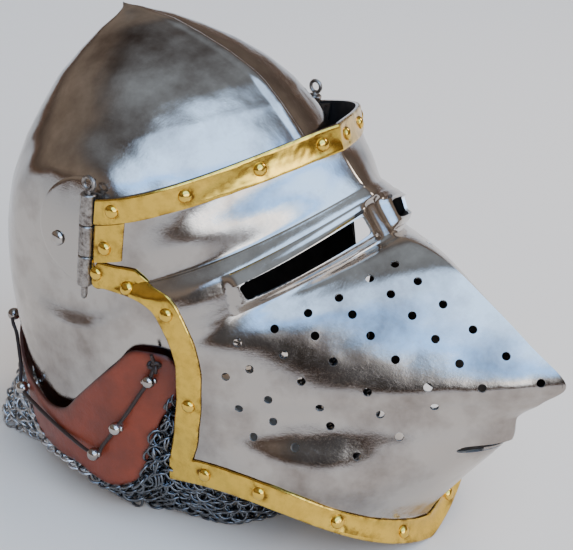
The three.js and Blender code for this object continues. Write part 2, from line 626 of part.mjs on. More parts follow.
function slotCutter() {
  const count = 6;
  const inner = acrossAt(slotInner * visorHalfWidth, slotTopRow);
  const outer = acrossAt(slotOuter * visorHalfWidth, slotTopRow);
  const middle = (slotTopRow + slotFootRow) / 2;
  const stations = Array.from({ length: count }, (_, i) => {
    const across = -mix(inner, outer, i / (count - 1));
    const spanMm = visorPoint(across, slotTopRow).distanceTo(visorPoint(across, slotFootRow));
    const half = (slotHeight / spanMm) * (slotFootRow - slotTopRow) / 2;
    return [[across, middle - half], [across, middle + half]];
  });
  return throughVisor(stations, visorWall * 2.5);
}

function mouthCutter() {
  const count = 7;
  const end = acrossAt(mouthWidth / 2, mouthRow);
  const stations = Array.from({ length: count }, (_, i) => {
    const across = mix(-end, end, i / (count - 1));
    const spanMm = visorPoint(across, mouthRow - 0.5).distanceTo(visorPoint(across, mouthRow + 0.5));
    const half = mouthGap / spanMm / 2;
    return [[across, mouthRow - half], [across, mouthRow + half]];
  });
  return throughVisor(stations, visorWall * 2.5);
}

function breathHoleCutters() {
  const cutters = [];
  for (const line of breathLines) {
    for (let i = 0; i < line.count; i += 1) {
      const t = i / (line.count - 1);
      const swell = 4 * t * (1 - t);
      const across = mix(line.across, line.endAcross, t) + line.bow * swell;
      const row = mix(line.row, line.endRow, t) + line.sag * swell;
      const out = onVisor(-across, row, visorWall * 2);
      const inside = onVisor(-across, row, -visorWall * 3);
      const cutter = rod(breathHoleDiameter / 2, out, inside, 6);
      cutters.push(cutter, mirrored(cutter));
    }
  }
  return cutters;
}

const eyeCutter = slotCutter();
const openings = [eyeCutter, mirrored(eyeCutter), mouthCutter(), ...breathHoleCutters()];
place('visor', cut(makeVisorWall(), openings, 0.12), polishedSteel);

// The place on the visor's right side that lies nearest to a point
function nearestPlace(target) {
  let best = { across: -1, row: 0, gap: Infinity };
  const consider = (across, row) => {
    const place = { across: Math.max(-1, across), row: Math.min(chinRow, Math.max(0, row)) };
    place.gap = visorPoint(place.across, place.row).distanceTo(target);
    if (place.gap < best.gap) best = place;
  };
  for (const across of spread(-1, -0.4, 13)) {
    for (const row of spread(0, chinRow, 58)) consider(across, row);
  }
  for (let reach = 1; reach > 0.004; reach *= 0.7) {
    const { across, row } = best;
    for (const turn of spread(0, 315, 8)) {
      const angle = THREE.MathUtils.degToRad(turn);
      consider(across + Math.cos(angle) * 0.05 * reach, row + Math.sin(angle) * 0.35 * reach);
    }
  }
  return [best.across, best.row];
}

// Brass bands: strips bent to the visor's surface, each following one of its edges
const inwardPlace = (row, distance) => (
  nearestPlace(visorPoint(-1, row).addScaledVector(inwardFrom(row), distance))
);

// Inward from the right rear edge, at right angles to it over the surface
function inwardFrom(row) {
  const tangent = visorPoint(-1, row + 0.08).sub(visorPoint(-1, row));
  const inward = tangent.cross(visorNormal(-0.995, row)).normalize();
  const ahead = new THREE.Vector3(0, -1, 0.45);
  return inward.dot(ahead) < 0 ? inward.negate() : inward;
}

const stripShares = [0, 0.5, 1];

function inwardLine(row, width) {
  return stripShares.map((share) => (share === 0 ? [-1, row] : inwardPlace(row, width * share)));
}

// A line down or up the visor at one place across, from a row to the row that is width away
function uprightLine(across, from, width) {
  const step = Math.sign(width) * 0.02;
  let [row, length] = [from, 0];
  while (length < Math.abs(width)) {
    length += onFacet(across, row, 0).distanceTo(onFacet(across, row + step, 0));
    row += step;
  }
  const nearer = Math.sign(width) > 0 ? Math.floor(row) : Math.ceil(row);
  const bend = Math.abs(nearer - from) < 0.2 || Math.abs(nearer - row) < 0.1 ? mix(from, row, 0.5) : nearer;
  return [from, bend, row].map((place) => [across, place]);
}

function bandStrip(lines, low, high) {
  const layer = (offset) => lines.map((line) => line.map(([u, v]) => onFacet(u, v, offset)));
  return wallFromGrids(layer(high), layer(low));
}

const bandLow = contactGap;
const bandHigh = contactGap + bandThickness;
const cheekLift = 0.4;          // the side bands bend more sharply than the visor's facets

const browLines = fullColumns.map((across) => uprightLine(across, 0, bandWidth));
place('brow_band', bandStrip(browLines, bandLow, bandHigh), brass);

// Down the rear edge: a row that lies distance below a given one
const edgeDown = (row, distance) => uprightLine(-1, row, distance)[2][1];
const stripTop = edgeDown(0, bandWidth + contactGap * 2);
const cheekTop = edgeDown(hingeFootRow, -bandWidth);
const stripFoot = edgeDown(hingeFootRow, -bandWidth - contactGap * 3);
const stripWidth = bandWidth + 4;
const browFoot = (across) => uprightLine(across, 0, bandWidth + contactGap * 2)[2];
const stripHead = inwardLine(stripTop, stripWidth).map(([across]) => browFoot(across));
const stripRest = spread(stripTop, stripFoot, 3).slice(1).map((row) => inwardLine(row, stripWidth));
const stripLines = [stripHead, ...stripRest];
placePair('hinge_strip', bandStrip(stripLines, bandLow + cheekLift, bandHigh + cheekLift), brass);

const cheekFoot = edgeDown(chinRow, -bandWidth - contactGap * 2);
const cheekSteps = [0.45, 1, 1.5, 2, 2.5, 3, 4, 5, 6, 8, 10, 12, 14];
const cheekRows = cheekSteps.map((step) => hingeFootRow + step);
const chinHead = (across) => uprightLine(across, chinRow, -bandWidth - contactGap * 2)[2];
const cheekEnd = inwardLine(cheekFoot, bandWidth).map(([across]) => chinHead(across));
const cheekStart = stripShares.map((share) => [-1, mix(hingeFootRow, cheekTop, share)]);
const cheekLines = [cheekStart, ...cheekRows.map((row) => inwardLine(row, bandWidth)), cheekEnd];
placePair('cheek_band', bandStrip(cheekLines, bandLow + cheekLift, bandHigh + cheekLift), brass);

// The bottom band runs from the right rear corner round the chin to a seam on the left.
const bottomLine = (across) => uprightLine(across, chinRow, -bandWidth);
const seam = fullColumns.findIndex((across) => across > 0.45);
const longLines = fullColumns.slice(0, seam + 1).map(bottomLine);
const shortLines = fullColumns.slice(seam).map(bottomLine);
shortLines[0] = bottomLine(fullColumns[seam] + 0.012);
place('bottom_band_right', bandStrip(longLines, bandLow, bandHigh), brass);
place('bottom_band_left', bandStrip(shortLines, bandLow, bandHigh), brass);

// Domed rivets down the middle of each band
function rivetAt(across, row) {
  const half = bandWidth / 2;
  const edges = { brow: [across, 0, half], chin: [across, chinRow, -half] };
  const seat = row === 0 ? uprightLine(...edges.brow)[2] : uprightLine(...edges.chin)[2];
  const [u, v] = row > 0 && row < chinRow ? inwardPlace(row, half) : seat;
  const lift = row > 0 && row < chinRow ? cheekLift * 2.6 : 0.2;
  const base = onFacet(u, v, bandHigh + lift + contactGap * 2);
  const r = rivetDiameter / 2;
  const profile = [[0, 0], [r, 0], [r * 0.7, rivetHeight * 0.7], [0, rivetHeight]];
  return turned(profile, 8, base, visorNormal(u, v));
}

let rivetCount = 0;
for (const { across, row } of rivetPlaces) {
  const rivet = rivetAt(-across, row);
  rivetCount += 1;
  placePair(`band_rivet_${String(rivetCount).padStart(2, '0')}`, rivet, brass);
}

// Hinges: three knuckles on a lifting pin. The visor's leaf has the upper and lower knuckles, the
// plate that turns on the skull has the middle one.
const edgeTop = visorPoint(-1, 0).setX(0);
const edgeFoot = visorPoint(-1, hingeFootRow).setX(0);
const pinAxis = edgeTop.clone().sub(edgeFoot).normalize();
const pinBack = new THREE.Vector3(0, pinAxis.z, -pinAxis.y);
const knuckleRadius = knuckleDiameter / 2;
const pinX = -visorHalfWidth - 0.5;
const edgeMiddle = edgeTop.clone().lerp(edgeFoot, 0.5);
const hingeMiddle = edgeMiddle.addScaledVector(pinBack, knuckleRadius + 1.2).setX(pinX);
const alongPin = (distance) => hingeMiddle.clone().addScaledVector(pinAxis, distance);
const knuckleStep = knuckleLength + contactGap;

function knuckle(offset) {
  const bore = pinDiameter / 2 + contactGap;
  const half = knuckleLength / 2;
  const profile = [[bore, -half], [knuckleRadius, -half], [knuckleRadius, half], [bore, half], [bore, -half]];
  return turned(profile, 8, alongPin(offset), pinAxis);
}

// A flat web between a knuckle and its plate. depth runs along pinBack, x is its outer face.
function web(offset, near, far, x, thickness) {
  const box = new THREE.BoxGeometry(thickness, far - near, knuckleLength);
  const turn = new THREE.Matrix4().makeBasis(new THREE.Vector3(1, 0, 0), pinBack, pinAxis);
  box.applyMatrix4(turn);
  const centre = alongPin(offset).addScaledVector(pinBack, (near + far) / 2).setX(x + thickness / 2);
  box.translate(centre.x, centre.y, centre.z);
  return box;
}

function makeLeaf() {
  const leafThickness = 1.2;
  const low = -visorWall - contactGap - leafThickness;
  const lines = [0.15, 0.5, 1, 2, hingeFootRow - 0.25].map((row) => inwardLine(row, bandWidth - 4));
  const plate = bandStrip(lines, low - 0.15, -visorWall - contactGap - 0.15);
  const x = -visorHalfWidth + visorWall + contactGap + 0.4;
  const webs = [1, -1].map((side) => (
    web(side * knuckleStep, -knuckleRadius - 2.4, -knuckleRadius + 2, x, leafThickness)
  ));
  const bore = rod(pinDiameter / 2 + contactGap, alongPin(-knuckleStep * 2), alongPin(knuckleStep * 2), 8);
  return cut(join([plate, ...webs, knuckle(knuckleStep), knuckle(-knuckleStep)]), [bore], 0.04);
}

function makeHingePlate() {
  const centre = hingeMiddle.clone().addScaledVector(pinBack, knuckleRadius + 1).setX(0);
  const dish = (depth) => [0, 0.5, 1].map((share) => spread(-90, 90, 9).map((angle) => {
    const turn = THREE.MathUtils.degToRad(angle);
    const out = share * hingeRadius;
    const point = centre.clone().addScaledVector(pinBack, out * Math.cos(turn));
    point.addScaledVector(pinAxis, out * Math.sin(turn));
    return point.setX(-templeAt(point.y, point.z) - plateGap - depth);
  }));
  const plate = wallFromGrids(dish(hingePlateThickness), dish(0));
  const x = -templeAt(centre.y, centre.z) - plateGap - hingePlateThickness;
  const joint = web(0, knuckleRadius - 2.5, knuckleRadius + 4, x, hingePlateThickness);
  const bore = rod(pinDiameter / 2 + contactGap, alongPin(-knuckleStep), alongPin(knuckleStep), 8);
  return cut(join([plate, joint, knuckle(0)]), [bore, pivotHole], 0.04);
}

function makePin() {
  const r = pinDiameter / 2;
  const top = alongPin(knuckleStep * 1.5 + contactGap);
  const shaft = rod(r, alongPin(-knuckleStep * 1.5 - pinTail), top.clone().addScaledVector(pinAxis, 1.5), 8);
  const ring = new THREE.TorusGeometry(pinRingDiameter / 2 - 1.2, 1.2, 5, 12);
  ring.applyMatrix4(new THREE.Matrix4().makeBasis(pinBack, pinAxis, new THREE.Vector3(1, 0, 0)));
  const middle = top.clone().addScaledVector(pinAxis, pinRingDiameter / 2 + 0.4);
  ring.translate(middle.x, middle.y, middle.z);
  return join([shaft, ring]);
}

placePair('hinge_leaf', makeLeaf(), forgedSteel);
placePair('hinge_plate', makeHingePlate(), forgedSteel);
placePair('hinge_pin', makePin(), forgedSteel);

// Leather band: stands off the skull's rim from cheek to cheek round the nape
function aroundAt(depth, level) {
  let [low, high] = [faceEdge, 1];
  for (let step = 0; step < 30; step += 1) {
    const middle = (low + high) / 2;
    if (skullPoint(middle, level).y < depth) low = middle;
    else high = middle;
  }
  return (low + high) / 2;
}

function onLeather(around, height, offset) {
  const level = Math.max(leatherStraight, height / skullHeight);
  const point = skullPoint(around, level);
  const flat = skullNormal(around, level).setZ(0).normalize();
  return point.addScaledVector(flat, leatherStandoff + offset).setZ(height);
}

const leatherHalf = leatherRows.map((row) => ({
  around: aroundAt(row.depth * skullReach, leatherStraight),
  top: row.top * skullHeight,
  foot: row.foot * skullHeight,
}));
const otherSide = (seats) => seats.reverse().map((seat) => ({ ...seat, around: 2 - seat.around }));
const leatherLoop = [...leatherHalf, ...otherSide(leatherHalf.slice(0, -1))];

function makeLeather() {
  const heights = [0, 0.5, 1];
  const layer = (offset) => leatherLoop.map(({ around, top, foot }) => (
    heights.map((share) => onLeather(around, mix(top, foot, share), offset))
  ));
  return wallFromGrids(layer(leatherThickness), layer(0));
}

// Vervelles: round-headed studs on the skull that stand through the leather, cross-drilled for
// the lace that is drawn through them all
const vervelleSeats = vervelleRows.map((row) => {
  const around = aroundAt(row.depth * skullReach, leatherStraight);
  return { around, height: row.height * skullHeight };
});
const ballLift = leatherThickness + vervelleDiameter / 2 + 0.6;
const vervelleLoop = [...vervelleSeats, ...otherSide(vervelleSeats.slice())];
const leatherOut = ({ around, height }) => (
  onLeather(around, height, 1).sub(onLeather(around, height, 0)).normalize()
);

function lacePath() {
  const points = [];
  const rest = leatherThickness + laceDiameter / 2 + contactGap * 2;
  const first = vervelleLoop[0];
  points.push(onLeather(first.around - 0.012, first.height + knotRise, rest));
  vervelleLoop.forEach((seat, i) => {
    points.push(onLeather(seat.around, seat.height, ballLift));
    const next = vervelleLoop[i + 1];
    if (!next) return;
    for (const share of [0.3, 0.7]) {
      const around = mix(seat.around, next.around, share);
      points.push(onLeather(around, mix(seat.height, next.height, share), rest));
    }
  });
  const last = vervelleLoop[vervelleLoop.length - 1];
  points.push(onLeather(last.around + 0.012, last.height + knotRise, rest));
  return new THREE.CatmullRomCurve3(points, false, 'centripetal');
}

const laceCurve = lacePath();

function laceTube(radius, sides, steps) {
  const section = new THREE.Shape(spread(0, 1, sides + 1).slice(0, -1).map((share) => (
    new THREE.Vector2(Math.cos(share * 2 * Math.PI), Math.sin(share * 2 * Math.PI)).multiplyScalar(radius)
  )));
  return plain(new THREE.ExtrudeGeometry(section, { steps, bevelEnabled: false, extrudePath: laceCurve }));
}

const laceSteps = 60;
const laceHole = laceTube(laceDiameter / 2 + contactGap, 5, laceSteps);

function vervelle(seat) {
  const out = leatherOut(seat);
  const base = onLeather(seat.around, seat.height, contactGap - leatherStandoff * vervelleReach(seat));
  const head = onLeather(seat.around, seat.height, ballLift);
  const reach = head.distanceTo(base);
  const r = vervelleDiameter / 2;
  const stem = vervelleStem / 2;
  const ball = [[r, reach - r * 0.3], [r, reach + r * 0.3], [r * 0.5, reach + r * 0.9], [0, reach + r]];
  const profile = [[0, 0], [stem, 0], [stem, reach - r], ...ball];
  return cut(turned(profile, 6, base, out), [laceHole], 0.05);
}

// Below leatherStraight the skull draws in from the leather, so a stud there is longer.
function vervelleReach(seat) {
  const skin = skullPoint(seat.around, seat.height / skullHeight);
  const band = onLeather(seat.around, seat.height, 0);
  const out = leatherOut(seat);
  return band.sub(skin).dot(out) / leatherStandoff;
}

const stemHoles = vervelleLoop.map((seat) => {
  const middle = onLeather(seat.around, seat.height, 0);
  const out = leatherOut(seat);
  const start = middle.clone().addScaledVector(out, -4);
  return rod(vervelleStem / 2 + contactGap, start, middle.addScaledVector(out, 8), 8);
});

place('leather_band', cut(makeLeather(), stemHoles, 0.05), redLeather);
vervelleLoop.forEach((seat, i) => {
  place(`vervelle_${String(i + 1).padStart(2, '0')}`, vervelle(seat), forgedSteel);
});
place('lace', laceTube(laceDiameter / 2, 5, laceSteps), darkLace);

// The helm leans back and stands on its chin and on its mail.
const part = new THREE.Group();
const tilt = new THREE.Matrix4().makeRotationX(THREE.MathUtils.degToRad(-restTilt));
const chinEdge = fullColumns.flatMap((across) => (
  [0, bandHigh, -visorWall].map((offset) => onVisor(across, chinRow, offset))
));
const helmLift = -Math.min(...chinEdge.map((point) => point.applyMatrix4(tilt).z));
const toGround = (point) => point.applyMatrix4(tilt).add(new THREE.Vector3(0, 0, helmLift));

// Mail: hangs from the leather's lower edge, closes under the chin and folds in where it lies.
// It is a wall between a top line, a middle line and a foot line on the ground.
function mailTop(row) {
  if (row.hang < 0.5) {
    const top = new THREE.Vector3(-row.topX * skullHalfWidth, row.topY * skullReach, row.topZ * skullHeight);
    return { top, out: new THREE.Vector3(-row.topX, row.topY - 0.3, 0).normalize() };
  }
  const around = aroundAt(row.depth * skullReach, leatherStraight);
  const foot = readTable(leatherHalf, 'around', Math.min(around, 1), 'foot') - contactGap * 2;
  const top = toGround(onLeather(around, foot, 0.5));
  const out = toGround(onLeather(around, foot, leatherThickness)).sub(top).setZ(0).normalize();
  return { top, out };
}

function makeMail() {
  const flip = (point) => point.clone().setX(-point.x);
  const half = mailRows.map((row) => {
    const { top, out } = mailTop(row);
    const foot = new THREE.Vector3(-row.footX * skullHalfWidth, row.footY * skullReach, 0);
    const middle = top.clone().lerp(foot, row.spread).setZ(Math.min(top.z * 0.5, mailFold));
    return { points: [top, middle, foot], out };
  });
  const across = ({ points, out }) => ({ points: points.map(flip), out: flip(out) });
  const other = half.slice(1, -1).reverse().map(across);
  const loop = [...half, ...other];
  const layer = (side) => [0, 1, 2].map((level) => loop.map(({ points, out }) => (
    points[level].clone().addScaledVector(out, side * mailThickness / 2)
  )));
  return wallFromGrids(layer(1), layer(-1), true);
}

place('mail_curtain', makeMail(), mailSteel, ground);

helm.rotation.x = THREE.MathUtils.degToRad(-restTilt);
helm.position.set(0, 0, helmLift);
part.add(helm, ground);
part.updateMatrixWorld(true);
const box = new THREE.Box3().setFromObject(part, true);
const middle = box.getCenter(new THREE.Vector3());
for (const group of [helm, ground]) group.position.add(new THREE.Vector3(-middle.x, -middle.y, -box.min.z));

export default part;
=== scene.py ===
"""A hounskull bascinet at rest on a pale floor: a pointed steel skull, a snouted visor edged in brass,
a red leather band, its lace and studs, and a curtain of mail."""

import json
import math

import bmesh
import bpy
import numpy as np
from mathutils import Matrix, Vector


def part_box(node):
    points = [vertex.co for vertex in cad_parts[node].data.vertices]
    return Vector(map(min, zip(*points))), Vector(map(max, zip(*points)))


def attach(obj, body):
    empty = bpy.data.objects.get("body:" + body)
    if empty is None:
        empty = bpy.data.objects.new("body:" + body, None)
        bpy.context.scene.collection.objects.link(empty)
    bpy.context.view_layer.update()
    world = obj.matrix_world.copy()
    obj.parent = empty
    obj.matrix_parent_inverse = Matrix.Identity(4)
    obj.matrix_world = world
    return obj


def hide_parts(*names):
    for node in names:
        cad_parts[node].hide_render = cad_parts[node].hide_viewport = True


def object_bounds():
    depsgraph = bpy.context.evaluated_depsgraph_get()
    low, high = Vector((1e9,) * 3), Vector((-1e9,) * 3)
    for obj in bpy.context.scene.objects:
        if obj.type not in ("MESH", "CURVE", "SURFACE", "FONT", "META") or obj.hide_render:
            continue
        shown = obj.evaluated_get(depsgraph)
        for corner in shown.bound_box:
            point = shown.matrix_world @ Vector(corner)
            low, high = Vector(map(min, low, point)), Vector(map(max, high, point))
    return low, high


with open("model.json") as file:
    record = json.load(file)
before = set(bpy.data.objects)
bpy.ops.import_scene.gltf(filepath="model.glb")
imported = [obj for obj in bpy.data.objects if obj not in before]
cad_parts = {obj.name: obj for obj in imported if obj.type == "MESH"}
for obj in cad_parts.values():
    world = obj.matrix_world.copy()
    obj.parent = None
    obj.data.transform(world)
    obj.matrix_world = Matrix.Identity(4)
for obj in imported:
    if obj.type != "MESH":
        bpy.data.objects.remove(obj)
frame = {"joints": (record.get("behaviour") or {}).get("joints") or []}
cad_bounds = [list(corner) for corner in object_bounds()]

# The studio: a camera at the photograph's angle, a wide floor of pale paper, three softboxes, and a
# painted room: warm dark walls, with one large window of pale-blue sky beside the camera.
PHOTO_WIDTH, FOCAL_PIXELS, SENSOR_WIDTH = 573, 1607, 36
# where the camera looks, and how many pixels the view's centre lies right of it and below it
TARGET = Vector((0.0, 0.0473, 0.1504))
CAMERA_DISTANCE, PIXELS_RIGHT, PIXELS_DOWN = 1.0, 71, 37
AZIMUTH, ELEVATION, ROLL = math.radians(-52), math.radians(24.2), math.radians(0.7)
back = Vector((
    math.sin(AZIMUTH) * math.cos(ELEVATION),
    -math.cos(AZIMUTH) * math.cos(ELEVATION),
    math.sin(ELEVATION),
))
right = Vector((math.cos(AZIMUTH), math.sin(AZIMUTH), 0))
up = back.cross(right)
right, up = math.cos(ROLL) * right + math.sin(ROLL) * up, math.cos(ROLL) * up - math.sin(ROLL) * right
eye = back * CAMERA_DISTANCE + TARGET
look = -back + right * (PIXELS_RIGHT / FOCAL_PIXELS) - up * (PIXELS_DOWN / FOCAL_PIXELS)
look.normalize()
side = look.cross(up).normalized()
camera_data = bpy.data.cameras.new("camera")
camera_data.sensor_width = SENSOR_WIDTH
camera_data.lens = FOCAL_PIXELS / PHOTO_WIDTH * SENSOR_WIDTH
camera_data.clip_start = 0.05
camera = bpy.data.objects.new("camera", camera_data)
bpy.context.scene.collection.objects.link(camera)
camera.matrix_world = Matrix((side, side.cross(look), -look)).transposed().to_4x4()
camera.location = eye
bpy.context.scene.camera = camera


def linear(hex_colour):
    """Turns an sRGB hex colour into the linear red, green, blue, alpha that shaders take."""
    values = [int(hex_colour[i:i + 2], 16) / 255 for i in (1, 3, 5)]
    return [v / 12.92 if v <= 0.04045 else ((v + 0.055) / 1.055) ** 2.4 for v in values] + [1.0]


def new_material(name, hex_colour):
    """A material whose shader has that base colour, and the shader."""
    material = bpy.data.materials.new(name)
    material.use_nodes = True
    shader = material.node_tree.nodes["Principled BSDF"]
    shader.inputs["Base Color"].default_value = linear(hex_colour)
    return material, shader


def add_node(owner, kind, inputs=None, feeds=None, out=0, **settings):
    """Adds a node to a material or world. An input, by name or number, is a value or a linked socket.
    The node's output goes to the input of the material's shader that feeds names."""
    node = owner.node_tree.nodes.new("ShaderNode" + kind)
    for key, value in settings.items():
        setattr(node, key, value)
    for key, value in (inputs or {}).items():
        if isinstance(value, bpy.types.NodeSocket):
            owner.node_tree.links.new(value, node.inputs[key])
        else:
            node.inputs[key].default_value = value
    if feeds:
        owner.node_tree.links.new(node.outputs[out], owner.node_tree.nodes["Principled BSDF"].inputs[feeds])
    return node


FLOOR_HALF = 6
floor_mesh = bpy.data.meshes.new("floor")
floor_corners = [(x * FLOOR_HALF, y * FLOOR_HALF, 0) for x, y in ((-1, -1), (1, -1), (1, 1), (-1, 1))]
floor_mesh.from_pydata(floor_corners, [], [(0, 1, 2, 3)])
floor = bpy.data.objects.new("floor", floor_mesh)
bpy.context.scene.collection.objects.link(floor)
paper, paper_shader = new_material("pale paper", "#F2DFCB")
paper_shader.inputs["Roughness"].default_value = 0.9
floor_mesh.materials.append(paper)

# name, place, target, size, power, colour, and whether polished steel mirrors it
SOFTBOXES = (
    ("key softbox", (-0.62, -1.6, 1.1), (0, 0, 0.15), (0.9, 0.55), 8, "#F4F8FF", False),
    ("top softbox", (0.7, -0.1, 2.0), (0, 0, 0.1), (1.0, 1.0), 13, "#FFFDF8", False),
    ("rim softbox", (1.15, -0.5, 1.0), (0, -0.05, 0.15), (0.35, 0.5), 4, "#FFF7EE", True),
)
for name, place, target, extent, power, colour, mirrored in SOFTBOXES:
    light = bpy.data.lights.new(name, "AREA")
    light.shape = "RECTANGLE"
    light.size, light.size_y = extent
    light.energy = power
    light.color = linear(colour)[:3]
    lamp = bpy.data.objects.new(name, light)
    bpy.context.scene.collection.objects.link(lamp)
    lamp.location = place
    lamp.rotation_mode = "QUATERNION"
    lamp.rotation_quaternion = (Vector(target) - Vector(place)).to_track_quat("-Z", "Y")
    lamp.visible_glossy = mirrored

world = bpy.data.worlds.new("studio")
bpy.context.scene.world = world
world.use_nodes = True
heading = add_node(world, "TexCoord").outputs["Generated"]
height = add_node(world, "SeparateXYZ", {0: heading}).outputs["Z"]
clouds = add_node(world, "TexNoise", {"Vector": heading, "Scale": 2.6, "Detail": 4})
drift = add_node(world, "Math", {0: clouds.outputs["Fac"], 1: 0.5, 2: height}, operation="MULTIPLY_ADD")
# each ramp's value, then its stops: how high, and the colour there
RAMPS = (
    (height, (
        (0.0, "#4A3D35"), (0.1, "#38312D"), (0.3, "#5A524B"), (0.6, "#58524D"), (0.8, "#464648"),
        (0.97, "#6C757E"),
    )),
    (drift.outputs[0], (
        (0.2, "#B0C2D6"), (0.45, "#E6F1FD"), (0.6, "#FFFFFF"), (0.72, "#B5D6FC"), (0.85, "#78AEF3"),
        (1.0, "#A8CDFA"),
    )),
)
ramps = []
for value, stops in RAMPS:
    ramp = add_node(world, "ValToRGB", {0: value})
    ramp.color_ramp.elements.remove(ramp.color_ramp.elements[0])
    for index, (position, colour) in enumerate(stops):
        stop = ramp.color_ramp.elements[0] if index == 0 else ramp.color_ramp.elements.new(position)
        stop.position = position
        stop.color = linear(colour)
    ramps.append(ramp.outputs[0])
# the window and the dark stand beside the camera: their direction, and the cosines of their soft edge
CONES = (((-0.33, -0.67, 0.66), 0.73, 0.83), ((-0.88, -0.36, 0.30), 0.945, 0.985))
cones = []
for direction, start, end in CONES:
    toward = add_node(world, "VectorMath", {0: heading, 1: direction}, operation="DOT_PRODUCT")
    inputs = {"Value": toward.outputs["Value"], "From Min": start, "From Max": end}
    cones.append(add_node(world, "MapRange", inputs, interpolation_type="SMOOTHSTEP").outputs[0])
window, stand = cones
STAND_DEPTH, WALL_STRENGTH, WINDOW_STRENGTH = 0.85, 3.3, 5.2
room = add_node(world, "Mix", {0: window, 6: ramps[0], 7: ramps[1]}, data_type="RGBA").outputs[2]
stand = add_node(world, "Math", {0: stand, 1: STAND_DEPTH}, operation="MULTIPLY").outputs[0]
room = add_node(world, "Mix", {0: stand, 6: room, 7: linear("#2E3033")}, data_type="RGBA").outputs[2]
glare = add_node(world, "MapRange", {"Value": window, "To Min": WALL_STRENGTH, "To Max": WINDOW_STRENGTH})
backdrop = world.node_tree.nodes["Background"]
world.node_tree.links.new(room, backdrop.inputs["Color"])
world.node_tree.links.new(glare.outputs[0], backdrop.inputs["Strength"])

# Skull: the bowl, raised from one steel plate to a point, with a keel down its brow. Its front is
# open for the face. It is polished outside and dark inside.
MM = 0.001
TILT = math.radians(14)
PIVOT = Vector(next(j for j in frame["joints"] if j["name"] == "visor_pivot")["pos_m"])
SKULL_HEIGHT, SKULL_REACH, SKULL_HALF = 115, 104, 106
SKULL_WALL, APEX_THICKNESS = 2.0, 9
NAPE_ROUNDNESS = 0.66
KEEL_BEAD, KEEL_WIDTH = 0.9, 3.4
# the levels between which the keel stands, and from which the inside closes to the solid tip
KEEL_TOP, KEEL_FOOT, TIP_LEVEL = 0.97, -0.02, 0.86
# how far a cubic curve's handles reach to draw a quarter of a circle
QUARTER_ROUND = 0.5523
# where the face opening ends, as a place round the skull and as a share of its height
FACE_EDGE, FACE_TOP = 0.27, 20 / SKULL_HEIGHT
TEMPLE_REACH, TEMPLE_ROUND = 36, 140
# level, front, back, half, widest, keel
SKULL_LEVELS = np.array([
    [1.0, 0.14, 0.155, 0.0, 0.14, 0.1], [0.965, 0.035, 0.15, 0.066, 0.095, 0.16],
    [0.895, -0.175, 0.255, 0.22, 0.067, 0.18], [0.81, -0.34, 0.37, 0.375, 0.04, 0.18],
    [0.705, -0.513, 0.496, 0.54, 0.013, 0.17], [0.575, -0.678, 0.602, 0.69, -0.02, 0.15],
    [0.435, -0.783, 0.703, 0.83, -0.04, 0.13], [0.235, -0.896, 0.823, 0.95, -0.04, 0.1],
    [0.0, -0.957, 0.93, 1.0, -0.02, 0.08], [-0.26, -0.98, 1.01, 1.01, 0.0, 0.06],
    [-0.52, -0.974, 1.05, 0.998, 0.02, 0.05], [-0.78, -0.94, 1.06, 0.968, 0.035, 0.04],
    [-1.04, -0.9, 1.06, 0.93, 0.05, 0.03], [-1.3, -0.87, 1.055, 0.89, 0.06, 0.03],
])
# how far round, level of the rim
SKULL_RIM = np.array([[0.0, -1.0], [0.38, -1.18], [0.5, -1.24], [0.6, -1.2], [0.8, -1.02], [1.0, -0.88]])


def to_row(points):
    """Turns points of the helm, in millimetres about its pivots, into the row frame in metres."""
    x, y, z = np.moveaxis(np.asarray(points, float), -1, 0)
    c, s = math.cos(TILT), math.sin(TILT)
    return np.stack([x, y * c + z * s, z * c - y * s], -1) * MM + np.array(PIVOT)


def along_table(table, position, column):
    """Reads a column of a table at a fractional row: a smooth curve through its values."""
    last = len(table) - 1
    index = np.clip(np.floor(position).astype(int), 0, last - 1)
    t = position - index
    a, b, c, d = (table[np.clip(index + k, 0, last), column] for k in (-1, 0, 1, 2))
    return b + 0.5 * t * (c - a + t * (2 * a - 5 * b + 4 * c - d + t * (3 * (b - c) + d - a)))


def row_position(keys, value):
    """The fractional row at which a falling or rising list of keys takes a value."""
    order = 1 if keys[-1] > keys[0] else -1
    return np.interp(np.asarray(value, float) * order, keys * order, np.arange(len(keys)))


def bezier(a, b, c, d, t):
    """A cubic curve from a to d that leaves towards b and arrives from c."""
    s = 1 - t
    return s ** 3 * a + 3 * s * s * t * b + 3 * s * t * t * c + t ** 3 * d


def smooth_step(t):
    """Rises from 0 to 1 between 0 and 1, level at both ends."""
    t = np.clip(t, 0, 1)
    return t * t * (3 - 2 * t)


def temple_at(y, z):
    """Half width of the round on which the hinge plate turns: the pivot's width less a shallow dome."""
    return SKULL_HALF - (y * y + z * z) / (2 * TEMPLE_ROUND)


